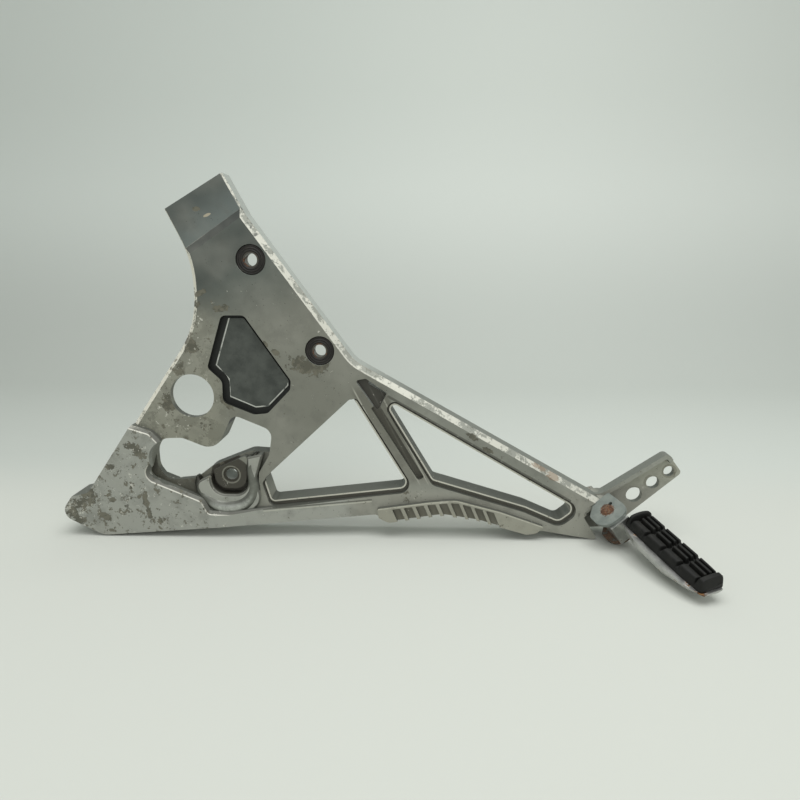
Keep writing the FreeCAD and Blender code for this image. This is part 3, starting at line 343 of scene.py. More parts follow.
class CastingFinish(Finish):
    """The casting's coat, built up by laying one colour over another. Its places are in mm, and
    depth is behind the front face. Facing is 1 where the surface looks straight to the front."""

    def __init__(self, name):
        super().__init__(name)
        self.depth = (self.y - FRONT) / MM
        self.mm = {"x": self.x / MM, "z": self.z / MM, "depth": self.depth}
        self.facing = 0.0 - self.ny
        self.flat = self.facing.rise(0.9, 0.97)
        self.slanted = self.facing.band(0.45, 0.93, 0.04)
        self.frontal = self.facing.rise(0.4, 0.6)
        self.partly_frontal = self.facing.rise(0.3, 0.5)
        self.up_the_tab = self.way(CREASE)
        self.near_right = self.way(RIGHTWARDS).rise(*NEAR_RIGHT)
        self.in_pocket = self.spot(*POCKET)
        self.moat = self.in_pocket * self.within(**BELOW_FACE)
        self.broad = self.noise(22.0, 3.0, 0.55)
        self.cloud = self.noise(75.0, 5.0, 0.6)
        self.small = self.noise(160.0, 7.0, 0.72)
        self.fleck = self.noise(260.0, 6.0, 0.72)
        self.coat = None

    def way(self, direction):
        """How far a place lies along a direction given by its x and z parts, in mm."""
        return self.mm["x"] * direction[0] + self.mm["z"] * direction[1]

    def within(self, **edges):
        """1 inside a region, as the product of its soft edges."""
        return reduce(mul, (self.mm[axis].rise(*edge) for axis, edge in edges.items()))

    def cover(self, share, colour):
        """Lays a colour over the coat where the share is 1."""
        self.coat = self.mix(share, self.coat, colour)

    def plate_tones(self):
        """A painted reflection leaves the plate dark up at the tab and warm in the middle; it is
        paler with grey patches on the left. The ramp to the tab lies in painted shade, and painted
        shade darkens the plate towards it."""
        # Painted reflection: the coat is dark at the top left of the plate and paler towards the
        # bottom right.
        lower = ((150.0 - self.mm["z"]) / 60.0 + self.mm["x"] / 130.0).rise(-0.1, 1.2)
        self.coat = self.mix(lower, paint(80, 87, 82), paint(118, 119, 109))
        left = self.within(**LEFT)
        self.cover(left * 0.75, paint(140, 140, 126))
        patches = self.noise(62.0, 8.0, 0.74).rise(0.5, 0.515)
        self.cover(patches * left * 0.5, paint(100, 100, 88))
        self.cover(self.up_the_tab.band(*RAMP_SHADE, 9.0) * 0.5, paint(58, 62, 58))
        self.cover(self.up_the_tab.rise(RAMP[0], RAMP[0] + 0.2), paint(60, 64, 61))
        dark_tab = self.up_the_tab.rise(*TAB_DARKENS)
        tab = self.mix(dark_tab, paint(98, 106, 103), paint(76, 82, 78))
        self.cover(self.up_the_tab.rise(RAMP[1] - 0.2, RAMP[1]), tab)

    def truss_tones(self):
        """Paler beam, flange and arm, with grime round the arm's holes, a paler lower bar, and a
        warm strut with bright ridges."""
        self.cover(self.within(**BEAM), paint(126, 128, 119))
        self.cover(self.within(**FLANGE) * 0.6, paint(158, 160, 150))
        arm = self.within(**ARM)
        self.cover(arm, paint(152, 153, 140))
        edge = (self.cloud - 0.5) * 3.0
        grime = any_of(self.spot(x, z, radius, radius, edge=edge) for x, z, radius in ARM_HOLES)
        self.cover(grime * arm * 0.5, paint(104, 102, 88))
        self.cover(self.within(**LOW_BAR), paint(142, 142, 132))
        off_x = (self.mm["x"] - STRUT_POINT[0]) * STRUT_ACROSS[0]
        off_z = (self.mm["z"] - STRUT_POINT[1]) * STRUT_ACROSS[1]
        across = off_x + off_z
        strut = across.band(*STRUT_WIDTH, 1.5) * self.mm["z"].band(*STRUT_HEIGHT, 4.0)
        strut = strut * self.mm["x"].rise(*STRUT_LEFT)
        self.cover(strut, paint(106, 106, 96))
        ridges = any_of(across.band(low, high, 0.4) for low, high in STRUT_RIDGES)
        self.cover(ridges * strut * 0.7, paint(176, 176, 164))

    def raised_tones(self):
        """The pale toe and serrated pad, darker between the pad's teeth. Broad pale clouds
        and dark ones lie over everything so far."""
        self.cover(self.within(**TOE), paint(152, 154, 146))
        self.cover(self.within(**PAD), paint(146, 145, 132))
        grooves = self.depth.band(*TEETH_DEPTHS, 0.1) * self.mm["x"].band(*TEETH_ALONG, 2.0)
        self.cover(grooves * self.within(**PAD_UNDER), paint(104, 102, 90))
        self.cover(self.broad.rise(0.4, 0.7) * 0.28, paint(158, 158, 148))
        self.cover(self.cloud.rise(0.46, 0.72) * 0.3, paint(84, 85, 78))

    def slanted_walls(self):
        """A dark wall inside the toe with a bright foot, and bevels worn to bare metal, chalky
        along the right and bright on the left. The ramp to the tab keeps its coat."""
        wall = self.slanted * self.depth.band(*TOE_WALL, 0.2) * self.within(**INSIDE_TOE)
        inner_wall = wall * self.way(TOE_INWARDS).rise(*INNER_WALL)
        ramp = self.up_the_tab.band(*RAMP, 0.1) * self.within(**RAMP_EDGE)
        bevel = self.slanted * (1.0 - wall) * (1.0 - ramp * self.facing.rise(0.86, 0.88))
        self.cover(inner_wall, paint(96, 97, 90))
        self.cover(inner_wall * self.within(**WALL_FOOT) * 0.8, BARE)
        worn = 1.0 - self.fleck.rise(0.55, 0.6) * 0.85
        patch = self.noise(70.0, 7.0, 0.7).rise(0.47, 0.5)
        bright = patch.most(self.within(**INNER_LINE))
        chalk = self.mix(bright, paint(142, 144, 135), paint(192, 192, 181))
        right_edge = bevel * self.near_right * self.within(**RIGHT_EDGE)
        self.cover(right_edge * worn, chalk)
        left_edge = bevel * self.within(**LEFT_EDGE) * self.depth.band(*LEFT_BEVEL, 0.3)
        self.cover(left_edge * worn, paint(222, 220, 206))
        return right_edge

    def outer_sides(self):
        """The outer walls are painted by the way they face the light from above. Those that look up
        get painted light along the right, and are dark on the left. Those that look down get painted
        shade."""
        # Painted light and shade: walls that face up are painted lit, and walls that face down are
        # painted shaded.
        side = self.facing.rise(0.35, 0.1) * self.facing.rise(-0.5, -0.2)
        upward = side * self.nz.rise(0.2, 0.5)
        shaded = self.within(**SHADED_SIDE)
        painted_lit_side = self.mix(shaded, paint(168, 173, 167), paint(112, 115, 108))
        self.cover(upward * self.near_right, painted_lit_side)
        self.cover(upward * (1.0 - self.near_right), paint(92, 94, 87))
        self.cover(side * self.nz.rise(0.2, -0.1) * 0.5, paint(104, 105, 97))

    def sunk_floors(self):
        """Bright ledges, painted shade in the channels and on the web pocket's floor, and the dark
        pocket, whose raised floor has a painted highlight along its left and lower rim, broken in
        places."""
        ledge = self.depth.band(*LEDGE, 0.05) * self.flat * self.within(**RIGHT_OF_CUP)
        self.cover(ledge * 0.85, paint(198, 197, 184))
        # Painted shade: the sunk channels and the web pocket's floor are darkened where shade falls.
        channel_shade = self.depth.band(*CHANNEL, 0.2) * self.flat
        self.cover(channel_shade * (1.0 - self.in_pocket) * 0.8, paint(72, 70, 61))
        web_pocket_shade = self.depth.band(*WEB_FLOOR, 0.1) * self.spot(*WEB_POCKET)
        self.cover(web_pocket_shade * 0.85, paint(58, 56, 50))
        self.cover(self.moat, paint(40, 42, 39))
        pocket_floor = self.in_pocket * self.depth.band(*POCKET_FLOOR, 0.06) * self.flat
        floor_tone = self.mix(self.cloud.rise(0.3, 0.7), paint(56, 60, 56), paint(78, 82, 77))
        self.cover(pocket_floor, floor_tone)
        # Painted highlight: a bright line along the left and lower rim of the pocket's floor, broken
        # in places by a noise.
        rim_highlight_breaks = self.noise(90.0, 4.0, 0.6).rise(0.36, 0.5)
        rim = thin_line(self, POCKET_RIM, 0.42) * self.depth.band(*POCKET_RIM_DEPTHS, 0.1)
        self.cover(rim * rim_highlight_breaks * 0.85, paint(192, 194, 186))

    def boss_and_well(self):
        """The dark boss with a bright hole and a paler ring, and shade in the well beside it."""
        boss = self.spot(*BOSS) * self.depth.band(*BOSS_DEPTHS, 0.1)
        self.cover(boss, paint(64, 62, 54))
        hole = self.spot(0.0, 0.0, BOSS_HOLE, BOSS_HOLE) * self.facing.rise(0.4, 0.2)
        self.cover(hole, paint(150, 154, 148))
        inside, outside = (self.spot(0.0, 0.0, radius, radius) for radius in BOSS_RING)
        self.cover(outside * (1.0 - inside) * boss * 0.6, paint(140, 140, 128))
        well = self.spot(*WELL) * self.depth.band(*WELL_DEPTHS, 0.4) * (1.0 - boss)
        self.cover(well * self.within(**WELL_LEFT) * 0.5, paint(84, 84, 76))

    def dark_and_bright_lines(self):
        """Dark lines along the beam and the lower bar, and bright lines along two lips."""
        beam_dark_line = thin_line(self, BEAM_DARK_LINE, 0.9) * self.small.rise(0.4, 0.48)
        low_dark_line = thin_line(self, LOW_DARK_LINE, 0.45) * self.small.rise(0.34, 0.42)
        self.cover(beam_dark_line.most(low_dark_line) * self.flat * 0.75, paint(70, 70, 62))
        pad_lip = thin_line(self, PAD_LIP, 0.5) * self.within(**PAD_FACE)
        lips = pad_lip.most(thin_line(self, LOW_LIP, 0.4)) * self.small.rise(0.34, 0.46)
        self.cover(lips * self.flat * 0.6, paint(192, 191, 177))

    def wear(self):
        """Chips down to the dark metal, rust, pale scuffs and pits. More of the chips and scuffs
        lie at the toe's tip and down the left, and fewer near the tab."""
        zone = self.within(**WORN_TIP) * 0.035 + self.within(**WORN_LEFT) * 0.055
        zone = zone + self.within(**WORN_BEAM) * 0.01 - self.within(**NEAR_TAB) * 0.06
        off_moat = 1.0 - self.moat
        large = (self.noise(48.0, 8.0, 0.72) + zone).rise(0.655, 0.66)
        fine = (self.small + zone * 1.4).rise(0.665, 0.672)
        chips = any_of([large * self.frontal * (1.0 - self.in_pocket),
                        ragged_spots(self, CHIPS, 7.0) * self.frontal * off_moat,
                        fine * self.partly_frontal * off_moat])
        self.cover(chips * 0.92, self.mix(self.small.rise(0.45, 0.55), OLIVE, paint(100, 98, 84)))
        rust = ragged_spots(self, RUST, 9.0) * self.partly_frontal
        self.cover(rust * 0.6, paint(120, 96, 70))
        elsewhere = self.node("ShaderNodeMapping", {}, {
            "Vector": self.place, "Location": (0.7, 0.3, 0.5)})
        scuffs = (self.noise(200.0, 7.0, 0.75, at=elsewhere) + zone * 0.8).rise(0.665, 0.675)
        self.cover(scuffs * off_moat * 0.7, BARE)
        bright_chip = self.spot(*BRIGHT_CHIP, edge=(self.small - 0.5) * 5.0)
        self.cover(bright_chip, paint(166, 158, 138))
        pits = self.cells(420.0).rise(0.17, 0.08) * self.fleck.rise(0.48, 0.58)
        self.cover(pits * 0.75, paint(48, 48, 42))
        return chips, rust, pits


def worn_casting():
    """Silver-grey coat on cast aluminium: darker high up through a painted reflection, chipped, bare
    along its bevels.
    """
    f = CastingFinish("worn_casting")
    f.plate_tones()
    f.truss_tones()
    f.raised_tones()
    right_edge = f.slanted_walls()
    f.outer_sides()
    f.sunk_floors()
    f.boss_and_well()
    f.dark_and_bright_lines()
    chips, rust, pits = f.wear()
    grain = f.noise(1400.0, 2.0, 0.5)
    height = grain * 0.2 + f.cloud * 0.3 - chips * 0.6 - pits * 0.7 - rust * 0.3
    rough = 0.46 + f.cloud * 0.12 + chips * 0.15 + right_edge * 0.1
    metal = 0.32 - chips * 0.2 - rust * 0.2
    return f.close(f.coat, rough, metal, height, 0.00015)


def black_rubber(name, tone, bloom):
    """Matt rubber with a fine skin, greyer where dust lies on it."""
    f = Finish(name)
    skin = f.noise(900.0, 4.0, 0.6)
    dust = f.noise(120.0, 5.0, 0.65)
    colour = f.mix(dust.rise(0.45, 0.75) * bloom, paint(*tone), paint(60, 58, 52))
    colour = f.mix(skin.rise(0.6, 0.8) * 0.2, colour, paint(52, 51, 47))
    f.shader.inputs["Specular IOR Level"].default_value = 0.35
    return f.close(colour, 0.52 + dust * 0.2, 0.0, skin * 0.6 + dust * 0.4, 0.0001)


def zinc_steel():
    """Bluish grey zinc, flat and dull, rusted round the pivot pin and inside the clevis."""
    f = Finish("zinc_steel")
    cloud = f.noise(130.0, 5.0, 0.6)
    fine = f.noise(520.0, 6.0, 0.7)
    colour = f.mix(cloud.rise(0.35, 0.7), paint(118, 125, 121), paint(136, 142, 136))
    away = f.node("ShaderNodeVectorMath", {"operation": "SUBTRACT"}, (f.place, HINGE))
    axis = f.vector_maths("DOT_PRODUCT", away, PIN_AXIS)
    far = f.vector_maths("LENGTH", away)
    off_pin = (far * far - axis * axis) ** 0.5 / MM
    up_pin = axis / MM
    ring = (off_pin + (fine - 0.5) * 6.0).rise(5.7, 4.4) * up_pin.rise(9.0, 12.0)
    inside = up_pin.band(-30.0, 9.6, 0.3) * (cloud + (fine - 0.5) * 0.5).rise(0.36, 0.5)
    rust = ring.most(inside * 0.85)
    brown = f.mix(fine.rise(0.4, 0.62), paint(66, 42, 28), paint(116, 84, 58))
    colour = f.mix(rust, colour, brown)
    specks = f.cells(600.0).rise(0.14, 0.06) * fine.rise(0.52, 0.6)
    colour = f.mix(specks * 0.7, colour, paint(70, 62, 52))
    return f.close(colour, 0.42 + rust * 0.35, 0.55 - rust * 0.5, fine * 0.6 + rust, 0.00008)


def rusty_steel(name, clean, share):
    """Steel of a clean tone with patches of rust, more of them where the share is larger."""
    f = Finish(name)
    cloud = f.noise(260.0, 6.0, 0.65)
    fine = f.noise(900.0, 4.0, 0.6)
    least_cloud = 0.62 - share * 0.3
    rust = (cloud + (fine - 0.5) * 0.3).rise(least_cloud, least_cloud + 0.1)
    brown = f.mix(fine.rise(0.35, 0.7), paint(52, 32, 22), paint(112, 76, 50))
    colour = f.mix(rust, paint(*clean), brown)
    return f.close(colour, 0.35 + rust * 0.4, 0.85 - rust * 0.75, fine * 0.5 + rust * 0.5, 0.0001)


def peg_metal():
    """Plated steel, shiny and scratched along the footrest, rusted and flaking at the tip."""
    f = Finish("peg_metal")
    cloud = f.noise(140.0, 5.0, 0.6)
    fine = f.noise(700.0, 5.0, 0.65)
    tip = (0.0 - f.y).rise(0.088, 0.108)
    rust = (cloud + tip * 0.28 + (fine - 0.5) * 0.2).rise(0.64, 0.7)
    brown = f.mix(fine.rise(0.35, 0.7), paint(58, 38, 24), paint(132, 96, 58))
    colour = f.mix(cloud.rise(0.3, 0.7), paint(176, 177, 174), paint(205, 205, 201))
    colour = f.mix(rust, colour, brown)
    return f.close(colour, 0.26 + rust * 0.45 + fine * 0.08, 0.95 - rust * 0.85,
                   fine * 0.3 + rust * 0.6, 0.0001)


def dress(node, material):
    """Puts a material on a node of the frame."""
    for slot in NODES[node].material_slots:
        slot.material = material


# New pieces


def surface(name, points, closed_u=False, closed_v=False, capped=False):
    """A mesh over a grid of points: rows run along u, columns along v. A capped one has its
    first and last rows closed by fans to their middles."""
    rows, columns = points.shape[:2]
    rows_used = np.arange(rows if closed_u else rows - 1)
    columns_used = np.arange(columns if closed_v else columns - 1)
    row, column = np.meshgrid(rows_used, columns_used, indexing="ij")
    next_row = (row + 1) % rows * columns
    next_column = (column + 1) % columns
    row = row * columns
    corners = [row + column, next_row + column, next_row + next_column, row + next_column]
    faces = np.stack(corners, -1).reshape(-1, 4).tolist()
    places = points.reshape(-1, 3).tolist()
    if capped:
        ring = np.arange(columns)
        onward = (ring + 1) % columns
        last = (rows - 1) * columns
        middle = len(places)
        places += [points[0].mean(0).tolist(), points[-1].mean(0).tolist()]
        faces += np.stack([np.full(columns, middle), ring, onward], -1).tolist()
        faces += np.stack([np.full(columns, middle + 1), last + onward, last + ring], -1).tolist()
    mesh = bpy.data.meshes.new(name)
    mesh.from_pydata(places, [], faces)
    mesh.polygons.foreach_set("use_smooth", np.ones(len(faces), bool))
    mesh.update()
    piece = bpy.data.objects.new(name, mesh)
    bpy.context.scene.collection.objects.link(piece)
    return piece


def turned(name, profile, centre, segments=96):
    """A turned ring: its closed profile of radius and depth is carried round the y axis.
    A point is the centre plus radius times (cos a, 0, sin a), and its depth along +y."""
    radius, depth = np.array(profile).T * MM
    angle = np.linspace(0.0, 2.0 * math.pi, segments, endpoint=False)
    points = np.empty((len(radius), segments, 3))
    points[..., 0] = centre[0] + radius[:, None] * np.cos(angle)
    points[..., 1] = centre[1] + depth[:, None]
    points[..., 2] = centre[2] + radius[:, None] * np.sin(angle)
    return surface(name, points, closed_u=True, closed_v=True)


def grommet_profile():
    """Bore, a front face with three soft rings, the flange's rounded rim, waist, rear flange.
    The front face's depth is a cosine with three waves across it, and falls off outwards with
    the cube of the place across it."""
    bore, flange, waist = 5.42, 10.15, 7.5
    rings, rim_radius, rim_depth = 3, 0.45, 1.15
    seat_front, seat_back, back = 1.5, 5.1, 7.7
    front = np.linspace(bore + 0.1, flange - 0.5, 40)
    share = (front - bore) / (flange - bore)
    dip = 0.28 + 0.22 * np.cos(share * rings * 2.0 * math.pi) + 0.5 * share ** 3
    rim = np.radians(np.linspace(80.0, 0.0, 7))
    rim_across = flange - rim_radius + rim_radius * np.cos(rim)
    rim_down = rim_depth - rim_radius * np.sin(rim)
    front_face = [(bore, 5.0), (bore, 0.7), *zip(front, dip), *zip(rim_across, rim_down)]
    groove = [(flange, seat_front), (waist, seat_front + 0.02), (waist, seat_back),
              (flange - 0.1, seat_back + 0.04)]
    rear_flange = [(flange, 5.5), (flange, 7.0), (flange - 0.4, back - 0.2),
                   (flange - 1.0, back), (bore + 0.3, back), (bore, back - 0.2)]
    return front_face + groove + rear_flange


def smooth_line(knots, count):
    """Points on the smooth line through the knots: between two knots each value follows a
    cubic whose slopes at them are half the step from the knot before to the knot after."""
    knots = np.array(knots, float)
    padded = np.vstack([2.0 * knots[0] - knots[1], knots, 2.0 * knots[-1] - knots[-2]])
    place = np.linspace(0.0, len(knots) - 1.0, count)
    first = np.minimum(place.astype(int), len(knots) - 2)
    t = (place - first)[:, None]
    before, start, stop, after = (padded[first + step] for step in range(4))
    return 0.5 * (2.0 * start + (stop - before) * t
                  + (2.0 * before - 5.0 * start + 4.0 * stop - after) * t ** 2
                  + (3.0 * start - before - 3.0 * stop + after) * t ** 3)


# The rolled wall of the cup: x, z, half width and crest's depth behind the front face, in mm.
CUP_ROLL = [
    (-26.5, -2.0, 1.2, 2.2), (-24.8, -9.0, 4.4, -0.8), (-20.0, -17.5, 6.4, -2.8),
    (-10.8, -24.0, 7.4, -3.9), (0.5, -24.8, 7.6, -4.1), (10.2, -21.2, 7.2, -3.8),
    (16.2, -12.8, 6.2, -3.3), (16.2, -3.0, 5.2, -2.8), (15.2, 5.0, 4.6, -2.3),
    (16.8, 12.0, 3.6, -1.4), (19.5, 17.0, 1.0, 2.0),
]
CUP_ROOT = 5.0


def cup_roll():
    """The cup's rounded wall: an ellipse carried along a smooth line, half sunk in the casting.
    Seen across the line it is half width times cos a, and its depth is the root less the
    crest's height above the root times sin a."""
    line = smooth_line(CUP_ROLL, 120)
    along = np.gradient(line[:, :2], axis=0)
    along /= np.linalg.norm(along, axis=1)[:, None]
    angle = np.linspace(0.0, 2.0 * math.pi, 40, endpoint=False)
    side = line[:, 2:3] * np.cos(angle)
    points = np.empty((len(line), len(angle), 3))
    points[..., 0] = (line[:, 0:1] - along[:, 1:2] * side) * MM
    points[..., 1] = FRONT + (CUP_ROOT - (CUP_ROOT - line[:, 3:4]) * np.sin(angle)) * MM
    points[..., 2] = (line[:, 1:2] + along[:, 0:1] * side) * MM
    return surface("cup_roll", points, closed_v=True, capped=True)


def cup_casting_with_highlight():
    """The cup's wall, smooth and metallic, with a painted highlight along its crest that makes it
    brighter than the coat round it, and painted shade down its flanks where they sink into the
    casting.
    """
    f = Finish("cup_casting_with_highlight")
    cloud = f.noise(110.0, 5.0, 0.6)
    fine = f.noise(420.0, 6.0, 0.7)
    depth = (f.y - FRONT) / MM
    colour = f.mix(cloud.rise(0.35, 0.7), paint(116, 118, 111), paint(92, 94, 87))
    # Painted shade: darker where the roll's flanks sink into the casting.
    colour = f.mix(depth.rise(-2.0, 1.2), colour, paint(56, 56, 50))
    # Painted highlight along the crest of the roll.
    crest = depth.rise(-3.0, -4.05) * fine.rise(0.9, 0.3)
    colour = f.mix(crest * 0.8, colour, paint(196, 199, 193))
    specks = f.cells(500.0).rise(0.15, 0.07) * fine.rise(0.5, 0.6)
    colour = f.mix(specks * 0.7, colour, paint(60, 60, 53))
    return f.close(colour, 0.27 + cloud * 0.12, 0.7, fine * 0.5 + cloud * 0.4, 0.0001)


# The footrest's axes: first along it, second across it, third out of its tread, which is tipped
# from the pin's own by this angle.
TREAD_TIP = -30.0
TREAD_TURN = LEAN @ turn_about(0, TREAD_TIP)
# Sizes of the rubber in mm. It starts past the hinge and lies to one side of it. Its flat joint
# and its base are heights along the third axis.
TREAD_START, TREAD_OFFSET = 14.0, 9.2
TREAD_LENGTH, TREAD_HALF = 70.0, 9.7
TREAD_JOINT, TREAD_BASE = 5.0, 8.2
# Ribs run along the footrest: their edges across it and their tops above the base.
RIB_EDGES = [(-9.6, -2.8), (-1.9, 1.3), (2.2, 5.3), (6.2, 9.6)]
RIB_TOPS = [3.7, 4.4, 4.3, 3.4]
# Gaps cut the ribs into rows. The last rib, past this place across, is cut less deeply.
ROW_START, ROW_PITCH, ROW_GAP = 4.6, 15.4, 1.7
RIBS_START, RIBS_END = 4.0, 66.5
SHALLOW_FROM, SHALLOW_SHARE = 5.6, 0.45
ROW_BOW, ROW_SLANT = 2.6, 0.12
# The collar and the end roll: where each ends, its height above its foot, and the foot's depth
# below the base. Both arch over this half width.
ARCH_HALF = 10.6
COLLAR_END, COLLAR_HEIGHT, COLLAR_FOOT = 3.6, 7.4, 1.0
ROLL_START, ROLL_END, ROLL_HEIGHT, ROLL_FOOT = 63.4, 70.6, 6.8, 1.2


def step_up(value, low, high):
    """0 below low and 1 above high, with a smooth step between, for arrays."""
    share = np.clip((value - low) / (high - low), 0.0, 1.0)
    return share * share * (3.0 - 2.0 * share)


def tread_height(along, across):
    """Height of the rubber's top. The base rises by the rib's top where a point is inside a rib
    across the footrest and inside a row along it. A rib is crowned: it falls with the square of
    the place across it, by about a quarter at its edges. The rows' gaps slant, and bow along the
    footrest with the square of the place on one flank. A collar arches over the inner end, and
    a roll over the outer one."""
    bow = along + ROW_BOW * np.clip(-across / TREAD_HALF, 0.0, 1.0) ** 2 + ROW_SLANT * across
    in_row = (bow - ROW_START) % ROW_PITCH
    rows = step_up(in_row, 0.0, 0.7) * step_up(ROW_PITCH - ROW_GAP - in_row, 0.0, 0.9)
    rows = rows * step_up(along, RIBS_START, RIBS_START + 0.6) * step_up(RIBS_END - along, 0.0, 0.9)
    ribs = np.zeros_like(along)
    for (left, right), top in zip(RIB_EDGES, RIB_TOPS):
        inside = step_up(across - left, 0.0, 0.8) * step_up(right - across, 0.0, 0.8)
        middle = (left + right) / 2.0
        crown = 1.0 - 0.24 * ((across - middle) / ((right - left) / 2.0)) ** 2
        ribs = np.maximum(ribs, inside * top * crown)
    shallow = SHALLOW_SHARE * step_up(across, SHALLOW_FROM, SHALLOW_FROM + 0.8)
    rows = 1.0 - (1.0 - rows) * (1.0 - shallow)
    height = TREAD_BASE + ribs * rows
    arch = np.sqrt(np.clip(1.0 - (across / ARCH_HALF) ** 2, 0.0, 1.0))
    collar = step_up(along, -0.6, 0.8) * step_up(COLLAR_END - along, 0.0, 1.1)
    collar = TREAD_BASE - COLLAR_FOOT + COLLAR_HEIGHT * arch ** 0.6 * collar
    roll = step_up(along, ROLL_START, ROLL_START + 2.4) * step_up(ROLL_END - along, 0.0, 2.2)
    roll = TREAD_BASE - ROLL_FOOT + ROLL_HEIGHT * arch ** 0.35 * roll
    return np.maximum(np.maximum(height, collar), roll)


def tread_half(along):
    """Half the rubber's width: full for most of its length, drawn in and rounded at both ends,
    as three smooth steps multiplied."""
    taper = 1.0 - 0.12 * step_up(along, 50.0, 72.0)
    inner = 1.0 - 0.06 * (1.0 - step_up(along, -0.5, 2.0))
    outer = 1.0 - 0.25 * step_up(along, 68.6, 71.2)
    return TREAD_HALF * taper * inner * outer


def tread_rubber():
    """The footrest's rubber: at each place along it a closed loop runs across the top, at the
    tread's height, down a flank that falls off with a high power of the place across, and back
    along the flat joint."""
    along = np.linspace(0.0, TREAD_LENGTH, 300)[:, None]
    share = np.linspace(-1.0, 1.0, 150)[None, :]
    half = tread_half(along)
    across = share * half
    top = tread_height(along + 0.0 * share, across)
    flank_power = np.where(share < 0.0, 12.0, 22.0)
    flank = 1.0 - np.abs(share) ** flank_power
    top = TREAD_JOINT + (top - TREAD_JOINT) * flank
    back = np.linspace(1.0, -1.0, 14)[None, 1:-1]
    loop = np.stack(np.broadcast_arrays(along, across, top), -1)
    under = np.stack(np.broadcast_arrays(along, back * half, TREAD_JOINT), -1)
    points = np.concatenate([loop, under], axis=1) + (TREAD_START, TREAD_OFFSET, 0.0)
    placed = points @ TREAD_TURN.T * MM + HINGE
    return surface("tread_rubber", placed[:, ::-1], closed_v=True, capped=True)


# The grommets' middles, x and z in mm.
GROMMETS = (("upper", 24.0, 155.0), ("lower", 69.0, 93.0))
RUBBER = black_rubber("grommet_rubber", (30, 28, 25), 0.5)
for label, x, z in GROMMETS:
    ring = turned(label + "_ringed_grommet", grommet_profile(), (x * MM, FRONT, z * MM))
    ring.data.materials.append(RUBBER)
    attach(ring, "hanger")
    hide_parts(label + "_grommet")
    dress(label + "_grommet", RUBBER)

dress("hanger_casting", worn_casting())
roll = cup_roll()
roll.data.materials.append(cup_casting_with_highlight())
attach(roll, "hanger")

dress("clevis_bracket", zinc_steel())
dress("pivot_pin", rusty_steel("rusty_pin", (120, 104, 88), 0.75))
SLEEVE = rusty_steel("sleeve_steel", (84, 82, 76), 0.35)
for name in ("upper_collar", "lower_collar"):
    dress(name, SLEEVE)
PLATED = rusty_steel("plated_fastener", (160, 160, 152), 0.25)
for name in ("bracket_washer", "bracket_nut", "thrust_washer", "detent_ball", "detent_spring"):
    dress(name, PLATED)

dress("peg_core", peg_metal())
TREAD = black_rubber("tread_rubber", (8, 9, 6), 0.2)
tread = tread_rubber()
tread.data.materials.append(TREAD)
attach(tread, "footrest")
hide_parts("peg_rubber")
dress("peg_rubber", TREAD)

# Stage, light and camera

FLOOR_GAP = 0.0002
SWEEP_FRONT, SWEEP_BEND, SWEEP_RADIUS = -2.5, 0.5, 0.6
SWEEP_HALF, SWEEP_TOP = 4.0, 3.5


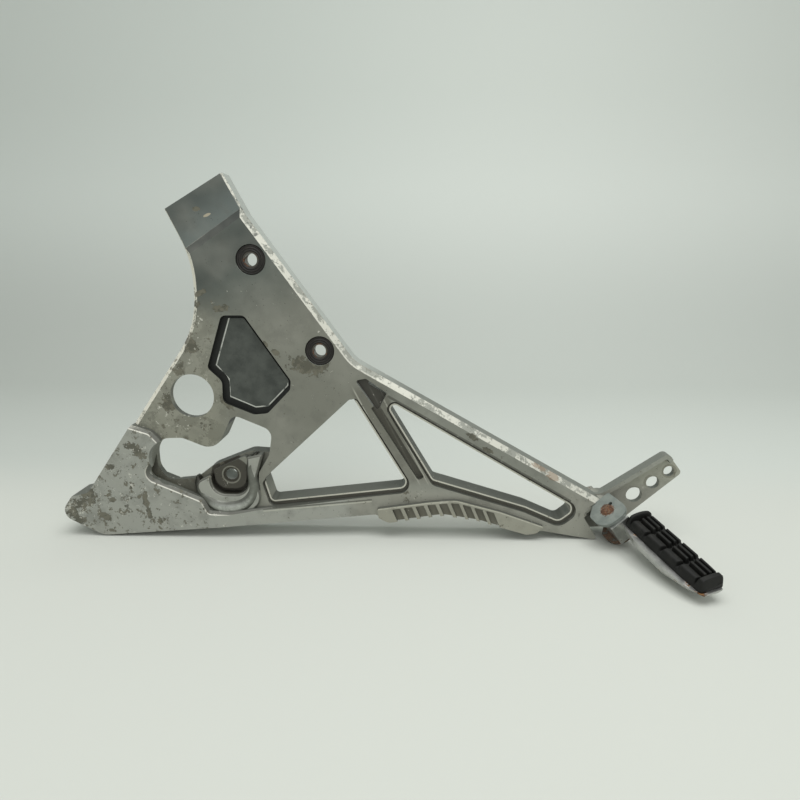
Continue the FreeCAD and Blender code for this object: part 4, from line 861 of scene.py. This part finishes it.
def sweep():
    """Floor and backdrop in one sheet: a profile of y and z, flat, then a quarter round, then
    upright, is carried straight along x."""
    floor_z = cad_box[0][2] - FLOOR_GAP
    bend = np.radians(np.linspace(0.0, 90.0, 24))
    bend_y = SWEEP_BEND + SWEEP_RADIUS * np.sin(bend)
    bend_z = floor_z + SWEEP_RADIUS - SWEEP_RADIUS * np.cos(bend)
    across = np.linspace(-SWEEP_HALF, SWEEP_HALF, 9)
    points = np.empty((len(bend) + 2, len(across), 3))
    points[..., 0] = across
    points[..., 1] = np.concatenate([[SWEEP_FRONT], bend_y, [bend_y[-1]]])[:, None]
    points[..., 2] = np.concatenate([[floor_z], bend_z, [SWEEP_TOP]])[:, None]
    sheet = surface("sweep", points)
    f = Finish("sweep_paper")
    # Painted light: the paper is darker on the left and low down behind the object, and paler up the
    # wall and to the right, as the lamps' light falls off.
    right = f.x.rise(-0.3, 0.5)
    near_floor = paint(192, 195, 188)
    far_floor = f.mix(right, paint(182, 187, 181), paint(191, 196, 190))
    wall = f.mix(right, paint(205, 211, 205), paint(213, 218, 212))
    colour = f.mix(f.y.rise(0.02, 0.17), near_floor, far_floor)
    colour = f.mix(f.z.rise(-0.02, 0.35), colour, wall)
    sheet.data.materials.append(f.close(colour, 0.9))


def lamp(name, size, power, place, target):
    """A soft box: an oblong lamp that looks from its place at the target. Sizes in m, power in W."""
    light = bpy.data.lights.new(name, "AREA")
    light.shape = "RECTANGLE"
    light.size, light.size_y = size
    light.energy = power
    lamp_object = bpy.data.objects.new(name, light)
    bpy.context.scene.collection.objects.link(lamp_object)
    away = np.array(place, float) - np.array(target, float)
    lamp_object.location = place
    lamp_object.rotation_euler = (math.atan2(math.hypot(away[0], away[1]), away[2]), 0.0,
                                  math.atan2(away[1], away[0]) + math.pi / 2.0)


sweep()
lamp("top_softbox", size=(1.2, 0.9), power=12.0, place=(0.2, -0.25, 1.1), target=(0.1, 0.0, 0.0))
lamp("front_fill", size=(1.4, 1.0), power=5.0, place=(0.4, -1.5, 0.7), target=(0.1, 0.0, 0.05))

WORLD_COLOUR, WORLD_STRENGTH = (0.93, 0.95, 0.93, 1.0), 0.62
world = bpy.data.worlds.new("studio")
bpy.context.scene.world = world
world.use_nodes = True
background = world.node_tree.nodes["Background"]
background.inputs["Color"].default_value = WORLD_COLOUR
background.inputs["Strength"].default_value = WORLD_STRENGTH

# The camera's place in metres, how far it looks down and to the left in degrees, and its lens.
EYE_PLACE = (0.1385, -0.418, 0.155)
EYE_DOWN, EYE_LEFT = 13.6, 1.9
SENSOR_MM, LENS_MM = 36.0, 26.1
eye = bpy.data.cameras.new("eye")
eye.sensor_width = SENSOR_MM
eye.lens = LENS_MM
eye.clip_start = 0.01
camera = bpy.data.objects.new("eye", eye)
camera.location = EYE_PLACE
camera.rotation_euler = (math.radians(90.0 - EYE_DOWN), 0.0, math.radians(EYE_LEFT))
bpy.context.scene.collection.objects.link(camera)
bpy.context.scene.camera = camera
bpy.context.scene.view_settings.view_transform = "Standard"
